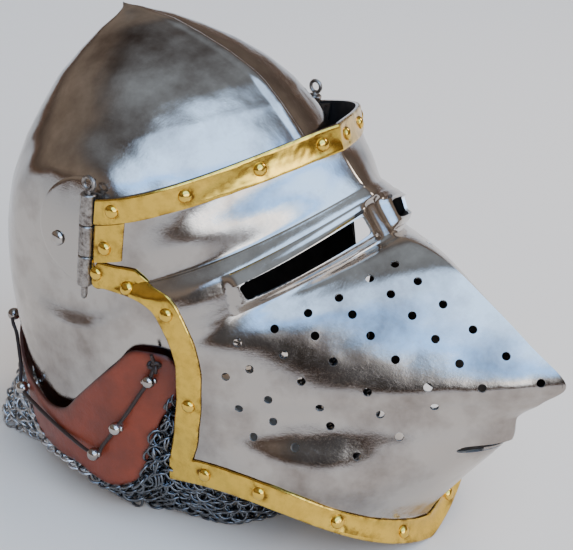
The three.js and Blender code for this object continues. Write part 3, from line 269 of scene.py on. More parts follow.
def skull_at(around, level):
    """The skull's outside: at each level a pointed front quarter and a full rear quarter, joined at
    the widest place. around is 0 in front, 0.5 on the right, 1 at the nape and on to 2."""
    around, level = np.broadcast_arrays(np.asarray(around, float), np.asarray(level, float))
    place = row_position(SKULL_LEVELS[:, 0], level)
    front, back_reach, half, widest, keel = (along_table(SKULL_LEVELS, place, k) for k in range(1, 6))
    front, widest = front * SKULL_HEIGHT, widest * SKULL_HEIGHT
    back_reach, half = back_reach * SKULL_REACH, np.maximum(0, half) * SKULL_HALF
    turn = np.where(around > 1, 2 - around, around)
    t = np.clip(turn * 2, 0, 1)
    x_front = bezier(0, half * (QUARTER_ROUND - keel), half, half, t)
    run = widest - front
    y_front = bezier(front, front + run * keel, widest - run * QUARTER_ROUND, widest, t)
    t = np.clip(turn * 2 - 1, 0, 1)
    x_back = bezier(half, half, half * NAPE_ROUNDNESS, 0, t)
    y_back = bezier(widest, widest + (back_reach - widest) * NAPE_ROUNDNESS, back_reach, back_reach, t)
    x, y = np.where(turn < 0.5, x_front, x_back), np.where(turn < 0.5, y_front, y_back)
    z = level * SKULL_HEIGHT
    crease = smooth_step((KEEL_TOP - level) / 0.1) * smooth_step((level - KEEL_FOOT) / 0.14)
    y = y - KEEL_BEAD * crease * np.exp(-(x / KEEL_WIDTH) ** 4)
    hold = 1 - smooth_step((np.hypot(y, z) - TEMPLE_REACH) / (TEMPLE_REACH * 0.7))
    x = x + (temple_at(y, z) - x) * hold
    return np.stack([np.where(around > 1, x, -x), y, z], -1)


def normal_of(surface, u, v, du, dv, toward):
    """The surface's normal from small steps both ways, turned to the side of toward."""
    across = surface(u + du, v) - surface(u - du, v)
    down = surface(u, v + dv) - surface(u, v - dv)
    normal = np.cross(across, down)
    normal /= np.maximum(np.linalg.norm(normal, axis=-1, keepdims=True), 1e-9)
    return normal * np.where(np.sum(normal * toward, -1, keepdims=True) < 0, -1, 1)


def skull_normal(around, level):
    """Outward normal of the skull."""
    point = skull_at(around, level)
    toward = point * [1, 1, 0] + [0, -10, 20]
    return normal_of(skull_at, around, level, 0.004, 0.01, toward)


def wall(outer, inner, keep=None, wrap=False):
    """Two grids of points joined into one closed wall. Cells outside keep are left out, and each
    free side of a cell that stays gets a rim from the outer to the inner grid."""
    rows, columns = outer.shape[:2]
    points = np.concatenate([outer.reshape(-1, 3), inner.reshape(-1, 3)])
    cells = columns if wrap else columns - 1
    keep = np.ones((rows - 1, cells), bool) if keep is None else keep
    i, j = np.nonzero(keep)
    at = lambda a, b, layer: layer * rows * columns + a * columns + b % columns
    quads = [
        np.stack([at(i, j, 0), at(i + 1, j, 0), at(i + 1, j + 1, 0), at(i, j + 1, 0)], -1),
        np.stack([at(i, j, 1), at(i, j + 1, 1), at(i + 1, j + 1, 1), at(i + 1, j, 1)], -1),
    ]
    padded = np.zeros((rows + 1, cells + 2), bool)
    padded[1:-1, 1:-1] = keep
    if wrap:
        padded[:, 0], padded[:, -1] = padded[:, -2], padded[:, 1]
    # each side of a cell: the neighbour's step, and the corners where the side starts and ends
    for neighbour, start, end in (
        ((-1, 0), (0, 0), (0, 1)), ((1, 0), (1, 1), (1, 0)),
        ((0, -1), (1, 0), (0, 0)), ((0, 1), (0, 1), (1, 1)),
    ):
        free = ~padded[i + 1 + neighbour[0], j + 1 + neighbour[1]]
        corners = [(start, 0), (end, 0), (end, 1), (start, 1)]
        quads.append(np.stack([at(i[free] + a, j[free] + b, layer) for (a, b), layer in corners], -1))
    return points, np.concatenate(quads)


def make_piece(
    name, points, faces, material, body, node=(), in_row=False, sharp=35, merge=0.0, black=None,
):
    """A mesh from arrays of points and faces, shaded smooth but for edges sharper than an angle,
    riding on its body and standing for its CAD nodes. black is how many faces a wall has outside:
    as many after them, its inner ones, are left black."""
    mesh = bpy.data.meshes.new(name)
    placed = np.asarray(points, float) if in_row else to_row(points)
    faces = np.asarray(faces)
    mesh.vertices.add(len(placed))
    mesh.vertices.foreach_set("co", placed.astype(np.float32).ravel())
    mesh.loops.add(faces.size)
    mesh.loops.foreach_set("vertex_index", faces.astype(np.int32).ravel())
    mesh.polygons.add(len(faces))
    mesh.polygons.foreach_set("loop_start", np.arange(len(faces), dtype=np.int32) * faces.shape[1])
    mesh.update(calc_edges=True)
    mesh.materials.append(material)
    if black:
        mesh.materials.append(inside)
        number = np.arange(len(faces))
        inner = (number >= black) & (number < 2 * black)
        mesh.polygons.foreach_set("material_index", inner.astype(np.int32))
    work = bmesh.new()
    work.from_mesh(mesh)
    if merge:
        bmesh.ops.remove_doubles(work, verts=work.verts, dist=merge)
        bmesh.ops.dissolve_degenerate(work, edges=work.edges, dist=merge)
    bmesh.ops.recalc_face_normals(work, faces=work.faces)
    work.to_mesh(mesh)
    work.free()
    mesh.validate()
    mesh.shade_smooth()
    mesh.set_sharp_from_angle(angle=math.radians(sharp))
    piece = bpy.data.objects.new(name, mesh)
    bpy.context.scene.collection.objects.link(piece)
    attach(piece, body)
    if node:
        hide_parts(*([node] if isinstance(node, str) else node))
    return piece


def every(size):
    """The scale of a pattern whose features lie that many millimetres apart."""
    return 1000 / size


# Mild steel, planished and polished by hand: it mirrors the room with slow waves from the hammer,
# fine scratches along and across, drawn coarser than they are, and dull brown blotches that are
# partly stains and partly painted dark reflections.
steel, steel_shader = new_material("hand-polished mild steel", "#D3D4D6")
steel_shader.inputs["Metallic"].default_value = 1
place = add_node(steel, "TexCoord").outputs["Object"]
waves = add_node(steel, "TexNoise", {"Vector": place, "Scale": every(26.3), "Detail": 1.5})
dents = add_node(steel, "TexNoise", {"Vector": place, "Scale": every(8.33), "Detail": 2})
scratches = []
# turn in radians, and how far apart the marks lie each way
for turn, spacing in (((0.5, 0.9, 0.3), (16.7, 1.11, 1.43)), ((0.1, 0.2, 1.2), (1.11, 14.3, 1.25))):
    scale = [every(size) for size in spacing]
    way = add_node(steel, "Mapping", {"Vector": place, "Rotation": turn, "Scale": scale}).outputs[0]
    marks = add_node(steel, "TexNoise", {"Vector": way, "Scale": 1, "Detail": 4, "Roughness": 0.75})
    scratches.append(marks.outputs["Fac"])
scratches = add_node(steel, "Math", dict(enumerate(scratches)), operation="ADD").outputs[0]
# dull brown blotches from this noise: partly stains, partly painted dark reflections of the room
stains_and_dark_reflections = add_node(steel, "TexNoise", {"Vector": place, "Scale": every(77), "Detail": 6, "Roughness": 0.62})
brown = add_node(steel, "MapRange", {"Value": stains_and_dark_reflections.outputs["Fac"], "From Min": 0.44, "From Max": 0.72})
inputs = {0: brown.outputs[0], 6: linear("#B9B1A9"), 7: linear("#5F5047")}
add_node(steel, "Mix", inputs, "Base Color", 2, data_type="RGBA")
inputs = {"Value": scratches, "From Min": 0.75, "From Max": 1.4, "To Min": 0.03, "To Max": 0.24}
add_node(steel, "MapRange", inputs, "Roughness")
relief = add_node(steel, "Bump", {"Height": waves.outputs["Fac"], "Strength": 0.6, "Distance": 1.6 * MM})
inputs = {"Height": dents.outputs["Fac"], "Strength": 0.35, "Distance": 0.2 * MM, "Normal": relief.outputs[0]}
relief = add_node(steel, "Bump", inputs)
inputs = {"Height": scratches, "Strength": 0.4, "Distance": 0.08 * MM, "Normal": relief.outputs[0]}
add_node(steel, "Bump", inputs, "Normal")
# the inside faces are given a dark, mottled steel colour
inside, inside_shader = new_material("mild steel, dark inside", "#2B2724")
inside_shader.inputs["Metallic"].default_value = 0.4
place = add_node(inside, "TexCoord").outputs["Object"]
inside_mottle = add_node(inside, "TexNoise", {"Vector": place, "Scale": every(11.1), "Detail": 5}).outputs["Fac"]
inputs = {0: inside_mottle, 6: linear("#3A3430"), 7: linear("#181614")}
add_node(inside, "Mix", inputs, "Base Color", 2, data_type="RGBA")
add_node(inside, "MapRange", {"Value": inside_mottle, "To Min": 0.4, "To Max": 0.75}, "Roughness")


def mirrored_columns(half):
    """A list of places from 0 round to 1 and on to just short of 2."""
    return np.concatenate([half, 2 - half[-2:0:-1]])


half_around = np.unique(np.concatenate([
    np.linspace(0, 0.05, 14), np.linspace(0.05, FACE_EDGE, 30), np.linspace(FACE_EDGE, 1, 74),
]))
around = mirrored_columns(half_around)
rim_level = along_table(SKULL_RIM, row_position(SKULL_RIM[:, 0], np.where(around > 1, 2 - around, around)), 1)
upper = 1 - (1 - FACE_TOP) * np.linspace(0.004, 1, 60) ** 1.25
shares = np.linspace(0, 1, 56)[1:]
levels = np.concatenate([
    np.repeat(upper[:, None], len(around), 1), FACE_TOP + (rim_level - FACE_TOP)[None] * shares[:, None],
])
skull_outer = skull_at(around[None], levels)
skull_inner = skull_outer - skull_normal(around[None], levels) * SKULL_WALL
apex = skull_at(0.0, 1.0)
tip_share = smooth_step((levels - TIP_LEVEL) / 0.12)[..., None]
inner_apex = apex - [0, 0, APEX_THICKNESS]
skull_inner = skull_inner + (inner_apex - skull_inner) * tip_share * [0.5, 0.5, 1]
skull_inner[..., 2] = np.minimum(skull_inner[..., 2], skull_outer[..., 2] - SKULL_WALL)
skull_outer = np.concatenate([np.broadcast_to(apex, (1, len(around), 3)), skull_outer])
skull_inner = np.concatenate([np.broadcast_to(inner_apex, (1, len(around), 3)), skull_inner])
# the face opening: the front cells below its top edge are left out
turn = np.where(around > 1, 2 - around, around)
in_front = np.maximum(turn, np.roll(turn, -1)) < FACE_EDGE + 1e-6
skull_keep = ~((np.arange(len(skull_outer) - 1)[:, None] > len(upper)) & in_front[None])
points, faces = wall(skull_outer, skull_inner, skull_keep, wrap=True)
make_piece(
    "skull_plate", points, faces, steel, "helm", "skull", sharp=16, merge=0.02 * MM,
    black=int(skull_keep.sum()),
)

# Visor: beaten from one plate to a long snout. Two eye slots with raised collars, a mouth slot
# under a lip, and rows of breath holes are cut through it.
VISOR_HALF, SNOUT_REACH, VISOR_DROP, VISOR_WALL = 109, 255, 223, 1.8
COLLAR_HEIGHT, SLOT_HEIGHT, SLOT_INNER, SLOT_OUTER, SLOT_FADE = 6, 11, 0.115, 0.745, 0.045
MOUTH_WIDTH, MOUTH_GAP, BREATH_HOLE = 54, 7, 5
# how far the cutters reach to each side of the plate, and the angle from which an edge is sharp
SLOT_CUT, HOLE_CUT, VISOR_SHARP = 7, 5, 28
# the rows of the table below at which the visor's features lie, from its top to its chin
HINGE_FOOT, ROOF, SLOT_TOP, SLOT_FOOT, SILL, TIP, LIP, MOUTH, CHIN = 3, 5, 6, 7, 8, 13, 15, 16, 19
BEAK_REACH, LIP_REACH = 2.4, 4
# how many rows and millimetres the beak's narrow and wide bell curves reach
BEAK_BELLS = ((0.5, 12), (1.5, 36))
# side x, y, z, front y, z, cheek, nose, point, fall
VISOR_ROWS = np.array([
    [1.0, -0.15, 0.108, -0.51, 0.164, 0.56, 0.29, 0.16, 0],
    [1.0, -0.127, 0.036, -0.508, 0.098, 0.52, 0.36, 0.11, 0],
    [1.0, -0.102, -0.05, -0.528, 0.045, 0.52, 0.45, 0.1, 0.05],
    [0.995, -0.082, -0.121, -0.553, 0.002, 0.49, 0.47, 0.11, 0.1],
    [0.99, -0.115, -0.132, -0.56, -0.006, 0.47, 0.47, 0.11, 0.12],
    [0.985, -0.194, -0.155, -0.575, -0.025, 0.43, 0.46, 0.11, 0.15],
    [0.975, -0.235, -0.186, -0.572, -0.049, 0.4, 0.45, 0.11, 0.2],
    [0.968, -0.25, -0.223, -0.597, -0.112, 0.36, 0.4, 0.12, 0.2],
    [0.962, -0.257, -0.25, -0.611, -0.131, 0.34, 0.4, 0.13, 0.2],
    [0.954, -0.26, -0.274, -0.664, -0.145, 0.32, 0.34, 0.13, 0.2],
    [0.949, -0.263, -0.305, -0.75, -0.2, 0.3, 0.28, 0.13, 0.2],
    [0.943, -0.262, -0.345, -0.835, -0.293, 0.28, 0.23, 0.13, 0.2],
    [0.934, -0.251, -0.386, -0.925, -0.398, 0.27, 0.19, 0.13, 0.2],
    [0.925, -0.238, -0.435, -1.0, -0.502, 0.27, 0.15, 0.13, 0.2],
    [0.917, -0.224, -0.475, -0.94, -0.56, 0.28, 0.21, 0.12, 0.25],
    [0.911, -0.212, -0.507, -0.87, -0.605, 0.32, 0.32, 0.08, 0.3],
    [0.904, -0.2, -0.54, -0.825, -0.68, 0.4, 0.42, 0.05, 0.4],
    [0.89, -0.18, -0.58, -0.7, -0.8, 0.65, 0.68, 0.02, 0.5],
    [0.885, -0.165, -0.618, -0.592, -0.917, 0.83, 0.83, 0, 0.35],
    [0.881, -0.149, -0.686, -0.586, -0.994, 0.87, 0.85, 0, 0.35],
])


def visor_base(across, row):
    """The visor without its collars: each row runs from the rear edge straight forward, then turns
    in to the centre; its height changes with the depth and with the width reached."""
    across, row = np.broadcast_arrays(np.asarray(across, float), np.asarray(row, float))
    side_x, side_y, side_z, front_y, front_z, cheek, nose, point, fall = (
        along_table(VISOR_ROWS, row, k) for k in range(9)
    )
    side_x, side_y, front_y = side_x * VISOR_HALF, side_y * SNOUT_REACH, front_y * SNOUT_REACH
    side_z, front_z = side_z * VISOR_DROP, front_z * VISOR_DROP
    depth = front_y - side_y
    t = 1 - np.abs(across)
    x = bezier(side_x, side_x, side_x * nose, 0, t)
    y = bezier(side_y, side_y + depth * cheek, front_y - depth * point, front_y, t)
    width = np.clip(x / side_x, 0, None)
    gone = fall * ((y - side_y) / depth) ** 2 + (1 - fall) * (1 - width ** 1.3)
    return np.stack([np.sign(across) * x, y, side_z + (front_z - side_z) * gone], -1)


def bell(distance, reach):
    """A bell curve: 1 at distance 0 and 0.37 at the reach, by e to the minus square of their ratio."""
    return np.exp(-((distance / reach) ** 2))


def visor_at(across, row):
    """The visor's outside: its base, lifted into a collar round each eye slot and into a lip over the
    mouth, and drawn to a point at the tip by a narrow bell curve within a wide one."""
    across, row = np.broadcast_arrays(np.asarray(across, float), np.asarray(row, float))
    base = visor_base(across, row)
    share = np.abs(base[..., 0]) / VISOR_HALF
    ends = smooth_step((share - SLOT_INNER * 0.3) / (SLOT_INNER * 0.7))
    ends = ends * smooth_step((SLOT_OUTER + SLOT_FADE - share) / SLOT_FADE)
    rise = COLLAR_HEIGHT * np.clip(np.minimum(row - ROOF, SILL - row), 0, 1) * ends
    toward = base * [1, 1, 0]
    lifted = base + normal_of(visor_base, across, row, 0.01, 0.05, toward) * rise[..., None]
    beak, shoulder = (
        bell(row - TIP, rows) * np.clip(1 - np.abs(base[..., 0]) / width, 0, 1) ** 2
        for rows, width in BEAK_BELLS
    )
    lifted[..., 1] += BEAK_REACH * (shoulder - beak)
    lip = (1 - smooth_step(np.abs(base[..., 0]) * 2 / MOUTH_WIDTH - 0.4)) * (row - LIP)
    lip = np.where((row > LIP) & (row < MOUTH), lip, 0)
    lifted[..., 1] -= lip * LIP_REACH
    return lifted


def visor_normal(across, row):
    """Outward normal of the visor, with its edges read just inside them."""
    across, row = np.broadcast_arrays(np.asarray(across, float), np.asarray(row, float))
    u, v = np.clip(across, -0.995, 0.995), np.clip(row, 0.05, CHIN - 0.05)
    return normal_of(visor_at, u, v, 0.01, 0.04, visor_at(u, v) * [1, 1, 0])


def on_visor(across, row, lift):
    """A point of the visor's outside moved out by lift."""
    lift = np.asarray(lift, float)
    return visor_at(across, row) + visor_normal(across, row) * lift[..., None]


def across_at(x, row):
    """The place across at which a row reaches x."""
    samples = np.linspace(0, 1, 400)
    return float(np.interp(x, visor_base(samples, row)[:, 0], samples))


def cutters_of(top, foot):
    """Closed cutters, all in one mesh, each from a ring of points over the plate and one under it."""
    sides = top.shape[1]
    block = np.concatenate([top, foot, top.mean(1, keepdims=True), foot.mean(1, keepdims=True)], 1)
    i = np.arange(sides)
    j = (i + 1) % sides
    one = np.concatenate([
        np.stack([i, j, j + sides], -1), np.stack([i, j + sides, i + sides], -1),
        np.stack([i, j, np.full(sides, 2 * sides)], -1),
        np.stack([i + sides, j + sides, np.full(sides, 2 * sides + 1)], -1),
    ])
    offsets = np.arange(len(top))[:, None, None] * (2 * sides + 2)
    return block.reshape(-1, 3), (one[None] + offsets).reshape(-1, 3)


def prism(outline, reach):
    """A closed cutter: an outline of places on the visor carried through the plate both ways."""
    return cutters_of(*(on_visor(outline[:, 0], outline[:, 1], way)[None] for way in (reach, -reach)))


def rounded_box(half_width, half_height, corner, count):
    """Places round a rectangle with round corners, centred on 0."""
    angle = np.linspace(0, 2 * math.pi, count, endpoint=False)
    c, s = np.cos(angle), np.sin(angle)
    power = 2 / max(corner, 0.1)
    radius = (np.abs(c) ** power + np.abs(s) ** power) ** (-1 / power)
    return np.stack([c * radius * half_width, s * radius * half_height], -1)


def slot_outline(sign):
    """An eye slot: a long level opening with round ends between the rows of its collar."""
    inner, outer = across_at(SLOT_INNER * VISOR_HALF, SLOT_TOP), across_at(SLOT_OUTER * VISOR_HALF, SLOT_TOP)
    ends = rounded_box(1, 1, 0.28, 96)
    u = (inner + outer) / 2 + ends[:, 0] * (outer - inner) / 2
    top, foot = visor_at(u, SLOT_TOP), visor_at(u, SLOT_FOOT)
    span = np.linalg.norm(top - foot, axis=-1)
    v = (SLOT_TOP + SLOT_FOOT) / 2 + ends[:, 1] * (SLOT_HEIGHT / span) / 2
    return np.stack([sign * u, v], -1)


def mouth_outline():
    """The mouth: a narrow curved opening under the lip."""
    end = across_at(MOUTH_WIDTH / 2, MOUTH)
    ends = rounded_box(1, 1, 0.5, 64)
    u = ends[:, 0] * end
    span = np.linalg.norm(visor_at(u, MOUTH - 0.5) - visor_at(u, MOUTH + 0.5), axis=-1)
    return np.stack([u, MOUTH + ends[:, 1] * MOUTH_GAP / span / 2], -1)


# count, first across and row, last across and row, bow, sag
BREATH_LINES = [
    (6, 0.161, 9.4, 0.1, 12.9, 0.035, 0), (6, 0.267, 9.47, 0.271, 12.91, 0.008, 0),
    (6, 0.389, 9.65, 0.36, 13.7, 0.035, -0.2), (6, 0.492, 9.74, 0.387, 15.47, 0.09, -0.4),
    (6, 0.603, 9.88, 0.479, 16.28, 0.085, -0.2), (5, 0.725, 9.98, 0.643, 16.16, 0.045, -0.1),
    (3, 0.813, 11.72, 0.748, 15.76, 0.015, -0.2),
]
hole_places = []
for count, a0, r0, a1, r1, bow, sag in BREATH_LINES:
    t = np.linspace(0, 1, count)
    swell = 4 * t * (1 - t)
    hole_places.append(np.stack([a0 + (a1 - a0) * t + bow * swell, r0 + (r1 - r0) * t + sag * swell], -1))
hole_places = np.concatenate(hole_places)
hole_places = np.concatenate([hole_places, hole_places * [-1, 1]])


def hole_prisms(places, radius, sides, reach):
    """Closed round cutters square to the plate, all in one mesh."""
    centre, axis = visor_at(places[:, 0], places[:, 1]), visor_normal(places[:, 0], places[:, 1])
    first = np.cross(axis, [0, 0, 1.0])
    first /= np.linalg.norm(first, axis=-1, keepdims=True)
    second = np.cross(axis, first)
    angle = np.linspace(0, 2 * math.pi, sides, endpoint=False)
    c, s = np.cos(angle)[None, :, None], np.sin(angle)[None, :, None]
    ring = (c * first[:, None] + s * second[:, None]) * radius
    return cutters_of(*(centre[:, None] + ring + axis[:, None] * way for way in (reach, -reach)))


def joined(parts):
    """Several meshes given as points and faces, made into one."""
    start, all_points, all_faces = 0, [], []
    for points, faces in parts:
        all_points.append(points)
        all_faces.append(faces + start)
        start += len(points)
    return np.concatenate(all_points), np.concatenate(all_faces)


# the walls of the cuts: sawn and filed steel, drawn lighter than the plate as a painted edge highlight
cut_steel, cut_shader = new_material("sawn and filed steel, lightened as painted edge highlight", "#EFEDE9")
cut_shader.inputs["Metallic"].default_value = 1
place = add_node(cut_steel, "TexCoord").outputs["Object"]
file_marks = add_node(cut_steel, "TexNoise", {"Vector": place, "Scale": every(0.667), "Detail": 2})
inputs = {"Value": file_marks.outputs["Fac"], "To Min": 0.3, "To Max": 0.55}
add_node(cut_steel, "MapRange", inputs, "Roughness")


def cut_through(piece, points, faces):
    """Takes the closed cutters out of a piece. The walls of the cuts keep the cutter's material, a
    lighter filed steel that is partly a painted edge highlight."""
    mesh = bpy.data.meshes.new("cutter")
    mesh.from_pydata(to_row(points).tolist(), [], faces.tolist())
    piece.data.materials.append(cut_steel)
    for material in piece.data.materials:
        mesh.materials.append(material)
    mesh.polygons.foreach_set("material_index", np.full(len(faces), len(mesh.materials) - 1, np.int32))
    work = bmesh.new()
    work.from_mesh(mesh)
    bmesh.ops.recalc_face_normals(work, faces=work.faces)
    work.to_mesh(mesh)
    work.free()
    cutter = bpy.data.objects.new("cutter", mesh)
    bpy.context.scene.collection.objects.link(cutter)
    modifier = piece.modifiers.new("cut", "BOOLEAN")
    modifier.operation, modifier.object, modifier.solver = "DIFFERENCE", cutter, "MANIFOLD"
    view = bpy.context.evaluated_depsgraph_get()
    result = bpy.data.meshes.new_from_object(piece.evaluated_get(view))
    piece.modifiers.clear()
    piece.data = result
    bpy.data.objects.remove(cutter)
    result.shade_smooth()
    result.set_sharp_from_angle(angle=math.radians(VISOR_SHARP))


visor_rows = np.unique(np.round(np.concatenate([np.linspace(0, CHIN, 150), np.arange(CHIN + 1)]), 6))
visor_columns = np.linspace(-1, 1, 221)
grid_u, grid_v = visor_columns[None], visor_rows[:, None]
visor_outer = visor_at(grid_u, grid_v)
visor_inner = visor_outer - visor_normal(grid_u, grid_v) * VISOR_WALL
points, faces = wall(visor_outer, visor_inner)
outside_count = (len(visor_rows) - 1) * (len(visor_columns) - 1)
visor = make_piece(
    "visor_plate", points, faces, steel, "visor", "visor",
    sharp=VISOR_SHARP, black=outside_count,
)
cutters = [prism(outline, SLOT_CUT) for outline in (slot_outline(1), slot_outline(-1), mouth_outline())]
cutters.append(hole_prisms(hole_places, BREATH_HOLE / 2, 16, HOLE_CUT))
cut_through(visor, *joined(cutters))

# Brass edging: strips of 1 mm sheet, bent over the visor's edges by hand and hammered down at each
# rivet. They are polished bright, with brown tarnish left along their edges and round the rivets.
BAND_WIDTH, BAND_LOW, BAND_HIGH, STRIP_WIDTH = 16, 0.3, 1.35, 20
# how much higher the cheek's strips lie over the others, and the hinge's strips lower
CHEEK_RISE, STRIP_RISE = 0.1, -0.25
BAND_SHARES = np.array([0, 0.012, 0.035, 0.07, 0.14, 0.26, 0.42, 0.58, 0.74, 0.86, 0.93, 0.965, 0.988, 1])
# how much the hammer left the sheet uneven, rolled down its edges and sank it round a rivet
SHEET_WAVE, EDGE_ROLL, RIVET_DENT = 0.13, 0.45, 0.34
# tarnish from 0 to 1 and over: on the whole sheet, along its edges, and in a ring round a rivet
TARNISH, EDGE_TARNISH, RIVET_TARNISH, TARNISH_RING = 0.25, 0.85, 1.1, 4.4
brass, brass_shader = new_material("polished brass sheet", "#DDB04C")
brass_shader.inputs["Metallic"].default_value = 1
place = add_node(brass, "TexCoord").outputs["Object"]
rubbed = add_node(brass, "Attribute", attribute_name="tarnish").outputs["Fac"]
inputs = {"Vector": place, "Scale": every(6.25), "Detail": 5, "Roughness": 0.65}
blotches = add_node(brass, "TexNoise", inputs)
stain = add_node(brass, "MapRange", {"Value": blotches.outputs["Fac"], "From Min": 0.42, "From Max": 0.72})
stained = add_node(brass, "Math", {0: stain.outputs[0], 1: rubbed}, operation="MULTIPLY").outputs[0]
inputs = {0: stained, 6: linear("#E9BE52"), 7: linear("#6E4818")}
add_node(brass, "Mix", inputs, "Base Color", 2, data_type="RGBA")
add_node(brass, "MapRange", {"Value": stained, "To Min": 0.13, "To Max": 0.5}, "Roughness")
dents = add_node(brass, "TexNoise", {"Vector": place, "Scale": every(14.3), "Detail": 2})
grain = add_node(brass, "TexNoise", {"Vector": place, "Scale": every(1.11), "Detail": 3})
relief = add_node(brass, "Bump", {"Height": dents.outputs["Fac"], "Strength": 0.6, "Distance": 1 * MM})
inputs = {"Height": grain.outputs["Fac"], "Strength": 0.2, "Distance": 0.05 * MM, "Normal": relief.outputs[0]}
add_node(brass, "Bump", inputs, "Normal")


def ripple(points, size):
    """Unevenness between -1 and 1: the mean of three crossed sine waves about size millimetres long."""
    x, y, z = np.moveaxis(points, -1, 0) * (2 * math.pi / size)
    waves = np.sin(x + 1.7 * np.sin(0.6 * y)), np.sin(1.1 * y + 1.3 * np.sin(0.7 * z) + 2)
    return (waves[0] + waves[1] + np.sin(0.9 * z + 1.1 * np.sin(0.8 * x) + 4)) / 3


def walked(points, places, distances):
    """Lines of points run along the first axis at places. Their lengths are summed step by step and
    read between steps, which gives the place where each line has covered each distance."""
    steps = np.linalg.norm(np.diff(points, axis=0), axis=-1)
    covered = np.concatenate([np.zeros((1, steps.shape[1])), np.cumsum(steps, 0)])
    after = np.clip((covered[None] < distances[:, None]).sum(1), 1, len(places) - 1)
    low, high = np.take_along_axis(covered, after - 1, 0), np.take_along_axis(covered, after, 0)
    return places[after - 1] + (distances - low) / (high - low) * (places[after] - places[after - 1])


def place_nearest(targets, across, row):
    """Places on the visor nearest to targets: Newton steps on the two gaps along the surface."""
    for _ in range(14):
        gap = targets - visor_at(across, row)
        du = (visor_at(across + 1e-3, row) - visor_at(across - 1e-3, row)) / 2e-3
        dv = (visor_at(across, row + 0.01) - visor_at(across, row - 0.01)) / 0.02
        a, b, c = (np.sum(m * n, -1) for m, n in ((du, du), (du, dv), (dv, dv)))
        p, q = np.sum(du * gap, -1), np.sum(dv * gap, -1)
        area = np.maximum(a * c - b * b, 1e-6)
        across = across + np.clip((p * c - q * b) / area, -0.05, 0.05)
        row = row + np.clip((q * a - p * b) / area, -0.5, 0.5)
    return np.clip(across, -1, 1), np.clip(row, 0, CHIN)


def tube(rings, closed=False):
    """Rings of points, an even number in each, joined along a path into one solid. An open path
    has a cap at each end, made of strips from one half of the ring to the other."""
    count, sides = rings.shape[:2]
    steps = np.meshgrid(np.arange(count - (not closed)), np.arange(sides), indexing="ij")
    i, j = (grid.ravel() for grid in steps)
    n, m = (i + 1) % count, (j + 1) % sides
    quads = [np.stack([i * sides + j, n * sides + j, n * sides + m, i * sides + m], -1)]
    if not closed:
        k = np.arange(sides // 2 - 1)
        cap = np.stack([k, k + 1, sides - 2 - k, sides - 1 - k], -1)
        quads += [cap, cap[:, ::-1] + (count - 1) * sides]
    return rings.reshape(-1, 3), np.concatenate(quads)


def band_width(points):
    """A band's width at each place along it: hand-cut, half a millimetre wider or narrower."""
    return BAND_WIDTH + 0.45 * ripple(points, 60) + 0.2 * ripple(points, 17)


def band_solid(across, row, shares, rivets, rise=0.0):
    """A sheet strip from places along (first axis) and across it. The top is rolled down at both
    edges, uneven by a tenth of a millimetre, and sunk round each rivet as a bell curve. Returns
    the points, the faces and how much tarnish each point holds."""
    top = on_visor(across, row, np.full(across.shape, float(BAND_HIGH)))
    edge = np.minimum(shares, 1 - shares)[None] * BAND_WIDTH
    lift = BAND_HIGH + rise + SHEET_WAVE * ripple(top, 23) - EDGE_ROLL * bell(edge, 0.5)
    tarnish = np.broadcast_to(TARNISH + EDGE_TARNISH * np.exp(-edge / 1.3), across.shape).copy()
    for rivet in rivets:
        away = np.linalg.norm(top - rivet, axis=-1)
        lift = lift - RIVET_DENT * bell(away, 6)
        tarnish += RIVET_TARNISH * bell(away - TARNISH_RING, 1.4)
    low = np.broadcast_to(BAND_LOW + rise, lift.shape)
    loop = [np.concatenate([outer, inner[:, ::-1]], 1) for outer, inner in
            ((across, across), (row, row), (lift, low), (tarnish, tarnish))]
    points, faces = tube(on_visor(loop[0], loop[1], loop[2]))
    return points, faces, loop[3].ravel()


def give_values(piece, name, values):
    """Stores a number for each point of a piece, which its material reads by that name."""
    layer = piece.data.attributes.new(name, "FLOAT", "POINT")
    layer.data.foreach_set("value", np.asarray(values, np.float32).ravel())


def brass_strip(name, node, across, row, rivets, rise=0.0, flip=(1, 1, 1)):
    """Makes a strip of the visor's edging, with its tarnish."""
    points, faces, tarnish = band_solid(across, row, BAND_SHARES, rivets, rise)
    give_values(make_piece(name, points * flip, faces, brass, "visor", node), "tarnish", tarnish)


def from_row(point):
    """A point of the row frame in metres, given in the helm's own frame in millimetres."""
    x, y, z = (Vector(point) - PIVOT) / MM
    c, s = math.cos(TILT), math.sin(TILT)
    return np.array([x, y * c - z * s, z * c + y * s])


# where each rivet of one side is first looked for, across and by row
RIVET_STARTS = np.array([
    (0.92, 0.5), (0.64, 0.5), (0.37, 0.5), (0.1, 0.5), (0.93, 1.6), (0.95, 3.1), (0.95, 4.2), (0.93, 6.2),
    (0.93, 13), (0.9, 18.4), (0.72, 18.4), (0.42, 18.4), (0.12, 18.4),
])
rivet_names = [f"band_rivet_{number:02d}" for number in range(1, len(RIVET_STARTS) + 1)]
rivet_middles = np.array([from_row(sum(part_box(f"{name}_left"), Vector()) / 2) for name in rivet_names])
rivet_across, rivet_row = place_nearest(rivet_middles, RIVET_STARTS[:, 0], RIVET_STARTS[:, 1])
rivet_seats = visor_at(rivet_across, rivet_row)
rivet_mirror = rivet_seats * [-1, 1, 1]
all_rivets = np.concatenate([rivet_seats, rivet_mirror])
FLIP = {"left": np.array([1, 1, 1]), "right": np.array([-1, 1, 1])}


def edge_band(across, start_row, end_row):
    """A band along the visor's first or last row: from there it runs band_width over the plate."""
    rows = np.linspace(start_row, end_row, 70)
    lines = visor_at(across[None], rows[:, None])
    row = walked(lines, rows, BAND_SHARES[:, None] * band_width(lines[0])[None])
    return np.repeat(across[:, None], len(BAND_SHARES), 1), row.T


across, row = edge_band(np.linspace(-1, 1, 321), 0, 2)
brass_strip("brow_band_brass", "brow_band", across, row, all_rivets)

